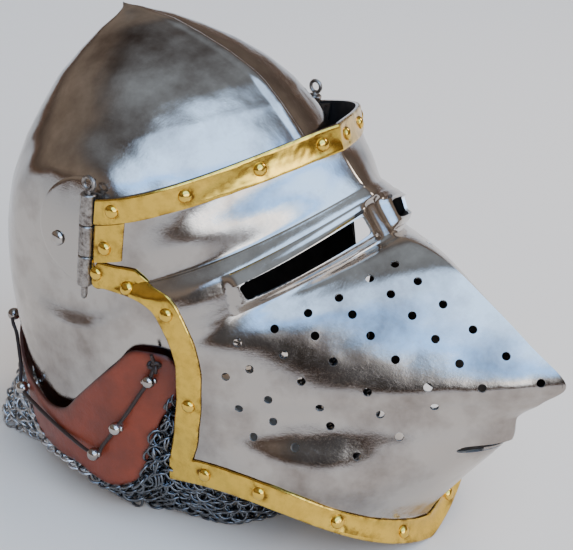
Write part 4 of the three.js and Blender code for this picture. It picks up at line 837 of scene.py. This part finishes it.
# The chin is edged by two strips that overlap on the left: the long one ends in a round tongue
SEAM, TONGUE, TONGUE_END, CHIN_ROWS = 0.5, 0.56, 0.06, 2.6
across, row = edge_band(np.linspace(SEAM, 1, 90), CHIN, CHIN - CHIN_ROWS)
brass_strip("chin_band_short", "bottom_band_left", across, row, all_rivets)
along = np.concatenate([np.linspace(-1, SEAM - TONGUE_END, 230), np.linspace(SEAM - 0.055, TONGUE, 50)])
across, row = edge_band(along, CHIN, CHIN - CHIN_ROWS)
end = np.clip((TONGUE - along) / TONGUE_END, 0, 1)
narrow = np.sqrt(np.clip(1 - (1 - end) ** 2, 0.02, 1))[:, None]
middle = row[:, 7:8]
row = middle + (row - middle) * narrow
overlap = smooth_step((along - SEAM + 0.05) / TONGUE_END)[:, None]
brass_strip("chin_band_long", "bottom_band_right", across, row, all_rivets, overlap)


# over how many rows the cheek strip's upper end turns square
CHEEK_TURN = 0.45


def inward_from(row):
    """From the left rear edge straight over the plate: the normal crossed with the edge's run. At
    the hinge's foot it turns into the edge's own line, so that the band ends square there."""
    start = HINGE_FOOT + CHEEK_TURN
    steady = np.maximum(row, start)
    run = visor_at(1.0, steady + 0.02) - visor_at(1.0, steady - 0.02)
    inward = np.cross(visor_normal(1.0, steady), run)
    inward /= np.linalg.norm(inward, axis=-1, keepdims=True)
    inward *= np.where(inward @ [0, -1, 0.45] < 0, -1, 1)[:, None]
    upward = visor_at(1.0, HINGE_FOOT - 1) - visor_at(1.0, HINGE_FOOT)
    share = np.clip((row - HINGE_FOOT) / CHEEK_TURN, 0, 1)[:, None]
    inward = upward / np.linalg.norm(upward) * (1 - share) + inward * share
    return inward / np.linalg.norm(inward, axis=-1, keepdims=True)


cheek_rows = np.concatenate([np.linspace(3, 4, 26), np.linspace(4.05, 17.95, 190)])
cheek_edge = visor_at(1.0, cheek_rows)
cheek_width = band_width(cheek_edge)[:, None, None] * BAND_SHARES[None, :, None]
targets = cheek_edge[:, None] + inward_from(cheek_rows)[:, None] * cheek_width
start_across = 1 - 0.13 * np.broadcast_to(BAND_SHARES, targets.shape[:2])
start_row = cheek_rows[:, None] - 0.4 * BAND_SHARES
cheek_across, cheek_row = place_nearest(targets, start_across, start_row)
strip_rows, strip_places = np.linspace(0.96, 2.12, 60), np.linspace(1, 0.6, 60)


def inward_strip(rows, shares, width):
    """Places across and by row of a strip that runs straight in from the rear edge, by shares of its
    width."""
    lines = visor_at(strip_places[:, None], rows[None])
    inward = walked(lines, strip_places, shares[:, None] * np.full(len(rows), float(width))).T
    return inward, np.repeat(rows[:, None], len(shares), 1)


strip_across, strip_row = inward_strip(strip_rows, BAND_SHARES, STRIP_WIDTH)
for side, flip in FLIP.items():
    node = f"cheek_band_{side}"
    brass_strip(f"{node}_brass", node, cheek_across, cheek_row, rivet_seats, CHEEK_RISE, flip)
    node = f"hinge_strip_{side}"
    brass_strip(f"{node}_brass", node, strip_across, strip_row, rivet_seats, STRIP_RISE, flip)

# Rivets: brass rod, headed over the strips with a hammer and a dished punch, so that each dome is a
# little uneven and has a thin burr round its foot.
RIVET_SINK, RIVET_UNEVEN = 0.3, 0.12
# radius, height
RIVET_PROFILE = np.array([
    (3.2, -0.9), (4.05, 0.0), (4.1, 0.35), (3.85, 0.85), (3.35, 1.5), (2.7, 2.0), (1.9, 2.38), (1.0, 2.56),
    (0.1, 2.6),
])


def turned(profile, base, axis, sides, closed=False):
    """A profile of radii and heights turned about an axis from a base point."""
    axis = np.asarray(axis, float) / np.linalg.norm(axis)
    first = np.cross(axis, [0.31, 0.2, 0.93] if abs(axis[2]) < 0.9 else [1.0, 0, 0])
    first /= np.linalg.norm(first)
    second = np.cross(axis, first)
    angle = np.linspace(0, 2 * math.pi, sides, endpoint=False)[None, :, None]
    radius, height = profile[:, 0][:, None, None], profile[:, 1][:, None, None]
    rings = np.asarray(base) + (np.cos(angle) * first + np.sin(angle) * second) * radius + axis * height
    if not closed:
        return tube(rings)
    rings = np.swapaxes(rings, 0, 1)
    return tube(rings, closed=True)


rivet_normals = visor_normal(rivet_across, rivet_row)
for index, name in enumerate(rivet_names):
    normal = rivet_normals[index]
    seat = rivet_seats[index] + normal * (BAND_HIGH - RIVET_SINK)
    points, faces = turned(RIVET_PROFILE, seat, normal, 22)
    points = points + normal * (RIVET_UNEVEN * ripple(points * (1 + 0.1 * index), 5))[:, None]
    tarnish = np.clip((np.linalg.norm(points - seat - normal * 1.2, axis=-1) - 3.3) * 1.6, 0.1, 1.2)
    for side, flip in FLIP.items():
        node = f"{name}_{side}"
        piece = make_piece(f"{node}_head", points * flip, faces, brass, "visor", node, sharp=50)
        give_values(piece, "tarnish", tarnish)

# Hinges: a half-round plate of polished steel that turns on the skull, a leaf behind the visor's
# edge, and three rolled knuckles between them, forged, filed and left dark.
HINGE_RADIUS, HINGE_PLATE, PLATE_GAP = 33, 1.6, 0.6
KNUCKLE_RADIUS, KNUCKLE_LENGTH, PIN_RADIUS, PIN_TAIL = 4.5, 19, 2.0, 9
LEAF_THICKNESS, LEAF_WIDTH, LEAF_GAP = 1.2, 12, 0.5
dark_steel, dark_shader = new_material("forged mild steel, filed and oiled", "#8C857E")
dark_shader.inputs["Metallic"].default_value = 1
place = add_node(dark_steel, "TexCoord").outputs["Object"]
inputs = {"Vector": place, "Scale": every(3.03), "Detail": 6, "Roughness": 0.7}
crust = add_node(dark_steel, "TexNoise", inputs).outputs["Fac"]
rust = add_node(dark_steel, "MapRange", {"Value": crust, "From Min": 0.42, "From Max": 0.7})
inputs = {0: rust.outputs[0], 6: linear("#A39C95"), 7: linear("#4A3B33")}
add_node(dark_steel, "Mix", inputs, "Base Color", 2, data_type="RGBA")
add_node(dark_steel, "MapRange", {"Value": crust, "To Min": 0.15, "To Max": 0.6}, "Roughness")
add_node(dark_steel, "Bump", {"Height": crust, "Strength": 0.6, "Distance": 0.3 * MM}, "Normal")

edge_top, edge_foot = visor_at(1.0, 0.0) * [0, 1, 1], visor_at(1.0, float(HINGE_FOOT)) * [0, 1, 1]
pin_axis = (edge_top - edge_foot) / np.linalg.norm(edge_top - edge_foot)
pin_back = np.array([0, pin_axis[2], -pin_axis[1]])
hinge_middle = (edge_top + edge_foot) / 2 + pin_back * (KNUCKLE_RADIUS + 1.2) + [VISOR_HALF + 0.5, 0, 0]
knuckle_step = KNUCKLE_LENGTH + 0.35


def knuckle(offset):
    """A rolled tube about the pin: a ring-shaped profile with broken edges, turned."""
    half = KNUCKLE_LENGTH / 2
    bore, outer = PIN_RADIUS + 0.35, KNUCKLE_RADIUS
    worn = 0.6
    profile = np.array([
        (bore, -half), (outer - worn, -half), (outer, -half + worn), (outer, -3), (outer, 3),
        (outer, half - worn), (outer - worn, half), (bore, half),
    ])
    points, faces = turned(profile, hinge_middle + pin_axis * offset, pin_axis, 28, closed=True)
    return points + ((points - hinge_middle) * [1, 0, 0]) * (0.02 * ripple(points, 9))[:, None], faces


def web(offset, near, far, x_outer, thickness):
    """A flat tab between a knuckle and its plate: a box along the pin."""
    along_axis = np.array([-1, 1, 1, -1]) * (KNUCKLE_LENGTH / 2)
    corners = [
        (hinge_middle * [0, 1, 1]) + pin_axis * (offset + a) + pin_back * b + [x_outer - x, 0, 0]
        for x in (0, thickness) for a, b in zip(along_axis, (near, near, far, far))
    ]
    faces = [(0, 1, 2, 3), (4, 7, 6, 5), (0, 4, 5, 1), (1, 5, 6, 2), (2, 6, 7, 3), (3, 7, 4, 0)]
    return np.array(corners), np.array(faces)


plate_middle = (hinge_middle + pin_back * (KNUCKLE_RADIUS + 1)) * [0, 1, 1]


def plate_layer(depth):
    """The half disc over the temple: out from its straight side by shares of the radius and round
    it by half a turn, standing off the skull's dome by depth."""
    quarter = math.pi / 2
    share, angle = np.meshgrid(np.linspace(0, 1, 30), np.linspace(-quarter, quarter, 56), indexing="ij")
    out = share[..., None] * HINGE_RADIUS
    point = plate_middle + out * (np.cos(angle)[..., None] * pin_back + np.sin(angle)[..., None] * pin_axis)
    rim = np.clip((share - 0.965) / 0.035, 0, 1) ** 2 * 0.5
    point[..., 0] = temple_at(point[..., 1], point[..., 2]) + PLATE_GAP + np.maximum(depth - rim, 0)
    return point


leaf_across, leaf_row = inward_strip(np.linspace(0.15, 2.75, 40), np.linspace(0, 1, 8), LEAF_WIDTH)
leaf_out = np.full(leaf_row.shape, -VISOR_WALL - LEAF_GAP)
leaf_grid = [np.concatenate([first, second[:, ::-1]], 1) for first, second in
             ((leaf_across, leaf_across), (leaf_row, leaf_row), (leaf_out, leaf_out - LEAF_THICKNESS))]
leaf_strip = tube(on_visor(*leaf_grid))
plate_x = float(temple_at(plate_middle[1], plate_middle[2])) + PLATE_GAP + HINGE_PLATE
leaf_x = VISOR_HALF - VISOR_WALL - 0.75
disc = wall(plate_layer(HINGE_PLATE), plate_layer(0))
plate_knuckle = joined([
    knuckle(0), web(0, KNUCKLE_RADIUS - 2.5, KNUCKLE_RADIUS + 4, plate_x, HINGE_PLATE),
])
leaf_parts = [leaf_strip]
for offset in (knuckle_step, -knuckle_step):
    leaf_parts += [
        knuckle(offset), web(offset, -KNUCKLE_RADIUS - 2.4, -KNUCKLE_RADIUS + 2, leaf_x, LEAF_THICKNESS),
    ]
leaf_knuckles = joined(leaf_parts)
for side, flip in FLIP.items():
    node = f"hinge_plate_{side}"
    make_piece(
        f"{node}_disc", disc[0] * flip, disc[1], steel, "visor", (),
        sharp=50, merge=0.001 * MM,
    )
    points, faces = plate_knuckle
    make_piece(f"{node}_knuckle", points * flip, faces, dark_steel, "visor", node)
    node, (points, faces) = f"hinge_leaf_{side}", leaf_knuckles
    make_piece(f"{node}_knuckles", points * flip, faces, dark_steel, "visor", node)

# Hinge pins: a steel rod that drops through the three knuckles of each hinge. It has a ring to lift
# it by, bent over at the top, and its filed tail stands out under the lowest knuckle.
PIN_RING, RING_WIRE = 5.0, 1.2


def swept(path, radius, sides, closed=False):
    """A round section of even size, or a size for each step, carried along a path of points."""
    run = (np.roll(path, -1, 0) - np.roll(path, 1, 0)) if closed else np.gradient(path, axis=0)
    run /= np.linalg.norm(run, axis=-1, keepdims=True)
    first = np.cross(run, [0.29, 0.47, 0.83])
    first /= np.linalg.norm(first, axis=-1, keepdims=True)
    second = np.cross(run, first)
    angle = np.linspace(0, 2 * math.pi, sides, endpoint=False)[None, :, None]
    size = np.broadcast_to(radius, len(path))[:, None, None]
    rings = path[:, None] + (np.cos(angle) * first[:, None] + np.sin(angle) * second[:, None]) * size
    return tube(rings, closed)


def pin_point(distance, back_way=0.0, out_way=0.0):
    """Points about the pin: along it, backward and outward."""
    distance, back_way, out_way = (np.asarray(v, float)[..., None] for v in (distance, back_way, out_way))
    return hinge_middle + pin_axis * distance + pin_back * back_way + np.array([1.0, 0, 0]) * out_way


pin_top, pin_foot = knuckle_step * 1.5 + 0.35, -knuckle_step * 1.5
tail_end = pin_foot - PIN_TAIL
shaft = turned(np.array([
    (0.7, tail_end), (1.5, tail_end + 0.8), (PIN_RADIUS, tail_end + 3), (PIN_RADIUS, 0),
    (PIN_RADIUS, pin_top), (1.5, pin_top + 1.6), (0.4, pin_top + 1.9),
]), hinge_middle, pin_axis, 20)
angle = np.linspace(0, 2 * math.pi, 36, endpoint=False)
ring_middle = PIN_RING - RING_WIRE
ring_path = pin_point(pin_top + PIN_RING + 0.4 + np.sin(angle) * ring_middle, np.cos(angle) * ring_middle)
points, faces = joined([shaft, swept(ring_path, RING_WIRE, 10, closed=True)])
for side, flip in FLIP.items():
    node = f"hinge_pin_{side}"
    make_piece(f"{node}_rod", points * flip, faces, dark_steel, f"pin_{side}", node)

# Pivot rivets: a steel rod through plate and temple on which the visor turns, with a low polished
# dome outside and a washer inside, both hammered down loosely.
PIVOT_PLAY = 0.35
PIVOT_FACE = SKULL_HALF + PLATE_GAP + HINGE_PLATE + PIVOT_PLAY
# radius, height
PIVOT_PROFILE = np.array([
    (0.4, -8.5), (4.5, -8.4), (4.5, -7.3), (2.5, -7.2), (2.5, -0.1), (4.4, -0.05), (4.55, 0.4), (4.2, 1.1),
    (3.5, 1.8), (2.4, 2.35), (1.2, 2.58), (0.1, 2.6),
])
points, faces = turned(PIVOT_PROFILE, [PIVOT_FACE, 0, 0], [1, 0, 0], 26)
for side, flip in FLIP.items():
    node = f"pivot_rivet_{side}"
    make_piece(f"{node}_head", points * flip, faces, steel, "helm", node)

# Leather band: one long strip of vegetable-tanned cowhide round the skull's rim, dyed red-brown. It
# is pressed over the studs, and the mail hangs from its lower edge.
LEATHER_THICKNESS, LEATHER_STANDOFF, LEATHER_STRAIGHT = 2.4, 3.0, -0.85
# its uneven cut, its buckling and its worn-down edge
CUT_UNEVEN, BUCKLE, EDGE_WEAR, EDGE_ROUND = 0.8, 0.55, 0.9, 0.8
# depth (share of the skull's reach), top, foot (shares of its height), from the cheek to the nape
LEATHER_ROWS = np.array([
    (-0.5, -0.69, -0.8), (-0.46, -0.64, -0.9), (-0.37, -0.61, -1), (-0.28, -0.61, -1.17),
    (-0.17, -0.68, -1.32), (0, -0.79, -1.38), (0.15, -0.88, -1.34), (0.3, -0.97, -1.28),
    (0.47, -0.97, -1.25), (0.63, -0.9, -1.21), (0.79, -0.8, -1.09), (0.93, -0.66, -0.87),
    (1.02, -0.58, -0.78), (1.2, -0.55, -0.75),
])
leather, leather_shader = new_material("vegetable-tanned cowhide, dyed red-brown", "#7A2F20")
place = add_node(leather, "TexCoord").outputs["Object"]
worn = add_node(leather, "Attribute", attribute_name="edge").outputs["Fac"]
cloud = add_node(leather, "TexNoise", {"Vector": place, "Scale": every(18.2), "Detail": 5, "Roughness": 0.6})
inputs = {0: cloud.outputs["Fac"], 6: linear("#9C3F22"), 7: linear("#4E2014")}
hide = add_node(leather, "Mix", inputs, data_type="RGBA")
inputs = {0: worn, 6: hide.outputs[2], 7: linear("#2B0F0A")}
add_node(leather, "Mix", inputs, "Base Color", 2, data_type="RGBA")
leather_shader.inputs["IOR"].default_value = 1.48
pores = add_node(leather, "TexVoronoi", {"Vector": place, "Scale": every(1.11)})
inputs = {"Vector": place, "Scale": every(7.14), "Detail": 6, "Roughness": 0.65}
creases = add_node(leather, "TexNoise", inputs).outputs["Fac"]
add_node(leather, "MapRange", {"Value": creases, "To Min": 0.22, "To Max": 0.6}, "Roughness")
folds = add_node(leather, "Bump", {"Height": creases, "Strength": 0.6, "Distance": 0.9 * MM}).outputs[0]
inputs = {"Height": pores.outputs["Distance"], "Strength": 0.25, "Distance": 0.2 * MM, "Normal": folds}
add_node(leather, "Bump", inputs, "Normal")

around_samples = np.linspace(FACE_EDGE, 1, 600)
depth_samples = skull_at(around_samples, LEATHER_STRAIGHT)[:, 1]


def on_leather(around, height, offset):
    """The skull's side at that height, stood off along its level normal by the leather's gap."""
    level = np.maximum(LEATHER_STRAIGHT, np.asarray(height, float) / SKULL_HEIGHT)
    flat = skull_normal(around, level) * [1, 1, 0]
    flat /= np.linalg.norm(flat, axis=-1, keepdims=True)
    point = skull_at(around, level) + flat * np.asarray(LEATHER_STANDOFF + offset, float)[..., None]
    return np.concatenate([point[..., :2], np.broadcast_to(height, point.shape[:-1])[..., None]], -1)


def leather_row(position):
    """How far round, top and foot of the leather at a fractional row of its table."""
    depth, top, foot = (along_table(LEATHER_ROWS, position, k) for k in range(3))
    around = np.interp(depth * SKULL_REACH, depth_samples, around_samples)
    return around, top * SKULL_HEIGHT, foot * SKULL_HEIGHT


positions = np.linspace(0, len(LEATHER_ROWS) - 1, 170)
around, top, foot = leather_row(positions)
around = np.concatenate([around, 2 - around[-2::-1]])
top, foot = (np.concatenate([v, v[-2::-1]]) for v in (top, foot))
shares = np.array([0, 0.01, 0.04, 0.12, 0.25, 0.4, 0.55, 0.7, 0.83, 0.92, 0.97, 0.99, 1])
height = top[:, None] + (foot - top)[:, None] * shares
flat_place = on_leather(around[:, None], height, np.zeros(height.shape))
height = height + CUT_UNEVEN * ripple(flat_place, 37) * (1 - 1.2 * (shares - 0.5) ** 2)
from_edge = np.minimum(shares, 1 - shares) * np.abs(foot - top)[:, None]
buckle = BUCKLE * ripple(flat_place, 48)
outer_offset = LEATHER_THICKNESS + buckle - EDGE_WEAR * bell(from_edge, EDGE_ROUND)
across = np.broadcast_to(around[:, None], height.shape)
edge_dark = np.exp(-from_edge / 1.4) * 0.85
# the hide's face from top to foot, then its flesh side back up
*grid, edge_dark = (
    np.concatenate([face, flesh[:, ::-1]], 1) for face, flesh in
    ((across, across), (height, height), (outer_offset, buckle + 0.1), (edge_dark, edge_dark))
)
points, faces = tube(on_leather(*grid))
band = make_piece(
    "leather_band_hide", points, faces, leather, "helm", "leather_band", sharp=60,
)
give_values(band, "edge", edge_dark)

# Studs: turned steel knobs riveted through the skull. They stand out through slits in the leather,
# which they hold, and are drilled across for the lace.
STUD_RADIUS, STEM_RADIUS, STEM_REST = 4.0, 2.5, 3.8
STUD_LIFT = LEATHER_THICKNESS + STUD_RADIUS + 0.6
# depth, height, in the leather's shares
STUD_ROWS = np.array([(-0.37, -0.76), (-0.13, -1.02), (0.06, -1.18), (0.72, -0.94), (0.95, -0.62)])
stud_around = np.interp(STUD_ROWS[:, 0] * SKULL_REACH, depth_samples, around_samples)
stud_around = np.concatenate([stud_around, 2 - stud_around[::-1]])
stud_count = len(stud_around)
stud_height = np.concatenate([STUD_ROWS[:, 1], STUD_ROWS[::-1, 1]]) * SKULL_HEIGHT
stud_heads, stud_feet = (
    on_leather(stud_around, stud_height, np.full(stud_count, lift))
    for lift in (STUD_LIFT, 0.4 - LEATHER_STANDOFF)
)
swell = np.linspace(-0.72, 1, 13) * math.pi / 2
# the drilled hole's turned-out lips, seen as a nub at each side of the knob
NUB_PROFILE = np.array([(0.2, -4.9), (1.3, -4.8), (1.75, -4.3), (1.75, 4.3), (1.3, 4.8), (0.2, 4.9)])
for index in range(stud_count):
    out = stud_heads[index] - stud_feet[index]
    reach = np.linalg.norm(out)
    ball_radius = np.maximum(np.cos(swell) ** 0.8 * STUD_RADIUS, 0.1)
    ball = np.stack([ball_radius, reach + np.sin(swell) * STUD_RADIUS], -1)
    profile = np.concatenate([[(0.3, 0), (STEM_RADIUS, 0), (STEM_RADIUS, reach - STEM_REST)], ball])
    name = f"vervelle_{index + 1:02d}"
    across = np.cross(out / reach, [0, 0, 1.0])
    across /= np.linalg.norm(across)
    nubs = turned(NUB_PROFILE, stud_heads[index] - out / reach * 0.6, across, 10)
    points, faces = joined([turned(profile, stud_feet[index], out, 20), nubs])
    make_piece(f"{name}_stud", points, faces, steel, "helm", name, sharp=50)

# Lace: one thin strip of leather, waxed nearly black. It is drawn through all the studs, sags on to
# the hide between them, and is knotted above the last stud on each side.
LACE_RADIUS, KNOT_RISE, KNOT_SIZE = 1.2, 8.5, 1.25
lace, lace_shader = new_material("waxed dark leather lace", "#241712")
lace_shader.inputs["Roughness"].default_value = 0.5
place = add_node(lace, "TexCoord").outputs["Object"]
fibre = add_node(lace, "TexNoise", {"Vector": place, "Scale": every(2), "Detail": 4}).outputs["Fac"]
inputs = {0: fibre, 6: linear("#3B261D"), 7: linear("#140D0A")}
add_node(lace, "Mix", inputs, "Base Color", 2, data_type="RGBA")
add_node(lace, "Bump", {"Height": fibre, "Strength": 0.5, "Distance": 0.3 * MM}, "Normal")

rest = LEATHER_THICKNESS + LACE_RADIUS + 0.7
studs = np.stack([stud_around, stud_height, np.full(stud_count, STUD_LIFT)], -1)
# between two studs the lace rests on the hide at a third and at two thirds of the way
third, two_thirds = (studs[:-1] + (studs[1:] - studs[:-1]) * share for share in (0.3, 0.7))
third[:, 2] = two_thirds[:, 2] = rest
steps = np.stack([studs[:-1], third, two_thirds], 1).reshape(-1, 3)
start, end = (
    [stud_around[k] + way * 0.012, stud_height[k] + KNOT_RISE, rest] for k, way in ((0, -1), (-1, 1))
)
steps = np.concatenate([[start], steps, [studs[-1]], [end]])
lace_points = on_leather(steps[:, 0], steps[:, 1], steps[:, 2])
path = np.stack([along_table(lace_points, np.linspace(0, len(steps) - 1, 420), k) for k in range(3)], -1)
turn_angle = np.linspace(0, 2 * math.pi, 72, endpoint=False)
# a trefoil, the curve of the overhand knot, seen from the helmet's side
knot = np.stack([
    -np.sin(3 * turn_angle) * 1.1, np.sin(turn_angle) + 2 * np.sin(2 * turn_angle),
    np.cos(turn_angle) - 2 * np.cos(2 * turn_angle),
], -1) * KNOT_SIZE
tail = np.linspace(0, 1, 20)[:, None]
parts = [swept(path, LACE_RADIUS * (1 + 0.08 * ripple(path, 6)), 8)]
for end, lean in ((path[0], 1), (path[-1], -1)):
    parts.append(swept(end + knot * [lean, 1, 1], LACE_RADIUS, 8, closed=True))
    parts.append(swept(end + tail * [-3.2 * lean, -4, 6] + tail ** 2 * [0, 1.5, 2.5], LACE_RADIUS * 0.9, 8))
points, faces = joined(parts)
make_piece("lace_cord", points, faces, lace, "helm", "lace", sharp=60)

# Mail: rings of steel wire, each linked to the four next to it, hanging from the leather and lying
# folded on the ground. Bright galvanised rings at the back are drawn darker towards the front.
RING_RADIUS, WIRE_RADIUS, RING_PITCH, ROW_PITCH, RING_LEAN = 5.0, 0.85, 8.6, 5.3, 40
MAIL_FOLD, MAX_ROWS, RING_SIDES, WIRE_SIDES = 38, 24, 13, 5
# how unevenly the rings hang: lean and swing in degrees, and lift in millimetres
LEAN_SPREAD, SWING_SPREAD, LIFT_SPREAD, SHEET_UNEVEN = 9, 12, 0.4, 1.6
# hang, depth, top x, y, z, foot x, y, spread: as shares of the skull's half width, reach and height
MAIL_ROWS = np.array([
    (0, 0, 0, -1.2, 0.36, 0, -1.15, 0), (0, 0, 0.34, -1.17, 0.38, 0.26, -1.1, 0),
    (0, 0, 0.66, -1.05, 0.46, 0.47, -1, 0), (0, 0, 0.77, -0.9, 0.5, 0.54, -0.95, 0),
    (1, -0.5, 0, 0, 0, 0.57, -0.88, 0), (1, -0.46, 0, 0, 0, 0.59, -0.8, 0),
    (1, -0.37, 0, 0, 0, 0.61, -0.69, 0), (1, -0.28, 0, 0, 0, 0.64, -0.58, 0.25),
    (1, -0.17, 0, 0, 0, 0.7, -0.45, 0.5), (1, 0, 0, 0, 0, 0.75, -0.3, 0.5),
    (1, 0.15, 0, 0, 0, 0.71, -0.13, 0.5), (1, 0.3, 0, 0, 0, 0.64, 0.03, 0.5),
    (1, 0.47, 0, 0, 0, 0.59, 0.25, 0.5), (1, 0.63, 0, 0, 0, 0.58, 0.46, 0.5),
    (1, 0.79, 0, 0, 0, 0.6, 0.65, 0.5), (1, 0.93, 0, 0, 0, 0.6, 0.89, 0.5),
    (1, 1.02, 0, 0, 0, 0.45, 1.05, 0.5), (1, 1.2, 0, 0, 0, 0, 1.13, 0.5),
])
mail, mail_shader = new_material("galvanised steel wire, darker in front", "#8A8C8F")
mail_shader.inputs["Metallic"].default_value = 1
place = add_node(mail, "TexCoord").outputs["Object"]
darker_in_front = add_node(mail, "Attribute", attribute_name="darker_in_front").outputs["Fac"]
film = add_node(mail, "TexNoise", {"Vector": place, "Scale": every(3.85), "Detail": 5}).outputs["Fac"]
dull = add_node(mail, "MapRange", {"Value": film, "From Min": 0.35, "From Max": 0.7})
inputs = {0: dull.outputs[0], 6: linear("#E4E5E7"), 7: linear("#7D7976")}
zinc = add_node(mail, "Mix", inputs, data_type="RGBA")
# the rings are mixed to a darker grey towards the front
add_node(mail, "Mix", {0: darker_in_front, 6: zinc.outputs[2], 7: linear("#6C6D70")}, "Base Color", 2, data_type="RGBA")
add_node(mail, "MapRange", {"Value": film, "To Min": 0.18, "To Max": 0.5}, "Roughness")

ground = np.array([0, PIVOT[1], 0]) / MM
hang = MAIL_ROWS[:, 0] > 0.5
mail_around = np.interp(MAIL_ROWS[:, 1] * SKULL_REACH, depth_samples, around_samples)
depth_place = row_position(LEATHER_ROWS[:, 0], MAIL_ROWS[:, 1])
foot_height = along_table(LEATHER_ROWS, depth_place, 2) * SKULL_HEIGHT - 0.7
hung = to_row(on_leather(mail_around, foot_height, np.full(len(MAIL_ROWS), 0.5))) / MM * [-1, 1, 1]
placed = MAIL_ROWS[:, 2:5] * [SKULL_HALF, SKULL_REACH, SKULL_HEIGHT] + ground
mail_top = np.where(hang[:, None], hung, placed)
mail_foot = np.pad(MAIL_ROWS[:, 5:7] * [SKULL_HALF, SKULL_REACH], ((0, 0), (0, 1))) + ground
mail_middle = mail_top + (mail_foot - mail_top) * MAIL_ROWS[:, 7:8]
mail_middle[:, 2] = np.minimum(mail_top[:, 2] * 0.5, MAIL_FOLD)


def loop_of(half):
    """One side's points continued round the other side, back to the first."""
    return np.concatenate([half, half[-2:0:-1] * [-1, 1, 1], half[:1]])


stations = [loop_of(half) for half in (mail_top, mail_middle, mail_foot)]
fine_places = np.linspace(0, len(stations[0]) - 1, 900)
lines = np.stack([
    np.stack([along_table(line, fine_places, k) for k in range(3)], -1) for line in stations
])
girth = np.linalg.norm(np.diff((lines[0] + lines[1]) / 2, axis=0), axis=-1)
girth = np.concatenate([[0], np.cumsum(girth)])
per_row = int(girth[-1] / RING_PITCH)
rows_down = np.arange(MAX_ROWS)
places_round = (np.arange(per_row)[None] + 0.5 * (rows_down[:, None] % 2)) * (girth[-1] / per_row)
index_round = np.interp(places_round, girth, np.arange(len(girth)))


def mail_at(index, share):
    """The mail's sheet: at each place round it a curve from the top through the middle to the foot."""
    low = np.clip(np.floor(index).astype(int), 0, lines.shape[1] - 2)
    t = (index - low)[..., None]
    top_point, middle, foot_point = (line[low] + (line[low + 1] - line[low]) * t for line in lines)
    s = np.asarray(share)[..., None]
    return (
        top_point * (2 * s - 1) * (s - 1) + middle * 4 * s * (1 - s) + foot_point * s * (2 * s - 1)
    )


shares_down = np.linspace(0, 1, 40)[:, None, None]
depth_lines = mail_at(index_round[None], np.broadcast_to(shares_down, (len(shares_down), *index_round.shape)))
lengths = np.linalg.norm(np.diff(depth_lines, axis=0), axis=-1).sum(0)
share = (rows_down[:, None] * ROW_PITCH + 1.0) / lengths
keep = share < 1.0
index_kept, share_kept = index_round[keep], share[keep]
row_kept = np.broadcast_to(rows_down[:, None], keep.shape)[keep]
centre = mail_at(index_kept, share_kept)
ahead, behind = (
    mail_at(np.clip(index_kept + step, 0, len(fine_places) - 2), share_kept) for step in (2, -2)
)
run = ahead - behind
down = mail_at(index_kept, share_kept + 0.03) - mail_at(index_kept, share_kept - 0.03)
run /= np.linalg.norm(run, axis=-1, keepdims=True)
down /= np.linalg.norm(down, axis=-1, keepdims=True)
out = np.cross(run, down)
out /= np.linalg.norm(out, axis=-1, keepdims=True)
down = np.cross(out, run)
draw = np.random.default_rng(7)
count = len(centre)
lean = np.radians(RING_LEAN * np.where(row_kept % 2 == 0, 1, -1) + draw.normal(0, LEAN_SPREAD, count))
swing = np.radians(draw.normal(0, SWING_SPREAD, count))
centre = centre + out * (SHEET_UNEVEN * ripple(centre, 31) + draw.normal(0, LIFT_SPREAD, count))[:, None]
first = run * np.cos(swing)[:, None] + out * np.sin(swing)[:, None]
second = down * np.cos(lean)[:, None] + out * np.sin(lean)[:, None]
second -= first * np.sum(first * second, -1, keepdims=True)
second /= np.linalg.norm(second, axis=-1, keepdims=True)
third = np.cross(first, second)
# each ring is a torus: its middle line round the ring, and a circle of wire round that line
around_ring = np.linspace(0, 2 * math.pi, RING_SIDES, endpoint=False)[None, :, None]
around_wire = np.linspace(0, 2 * math.pi, WIRE_SIDES, endpoint=False)[None, None, :, None]
radial = np.cos(around_ring) * first[:, None] + np.sin(around_ring) * second[:, None]
wire_ring = (
    centre[:, None, None] + radial[:, :, None] * (RING_RADIUS + WIRE_RADIUS * np.cos(around_wire))
    + third[:, None, None] * (WIRE_RADIUS * np.sin(around_wire))
)
# no ring reaches past the mail's place at the back, or below the ground
hindmost = wire_ring[..., 1].max((1, 2))
wire_ring[..., 1] -= np.maximum(0, hindmost - cad_bounds[1][1] / MM)[:, None, None]
lowest = wire_ring[..., 2].min((1, 2))
wire_ring[..., 2] += np.maximum(0, 0.1 - lowest)[:, None, None]
per_ring = RING_SIDES * WIRE_SIDES
i, j = (grid.ravel() for grid in np.meshgrid(np.arange(RING_SIDES), np.arange(WIRE_SIDES), indexing="ij"))
here, ahead = i * WIRE_SIDES, (i + 1) % RING_SIDES * WIRE_SIDES
beside = (j + 1) % WIRE_SIDES
quad = np.stack([here + j, ahead + j, ahead + beside, here + beside], -1)
faces = (quad[None] + np.arange(count)[:, None, None] * per_ring).reshape(-1, 4)
rings = make_piece(
    "mail_rings", wire_ring.reshape(-1, 3) * MM, faces, mail, "helm", "mail_curtain",
    in_row=True, sharp=80,
)
# how much darker each ring is drawn: it rises from 5 to 30 mm in front of the pivots, unevenly ring by ring
front = smooth_step((ground[1] - centre[:, 1] - 5) / 25 + draw.normal(0, 0.12, count))
give_values(rings, "darker_in_front", np.repeat(front, per_ring))
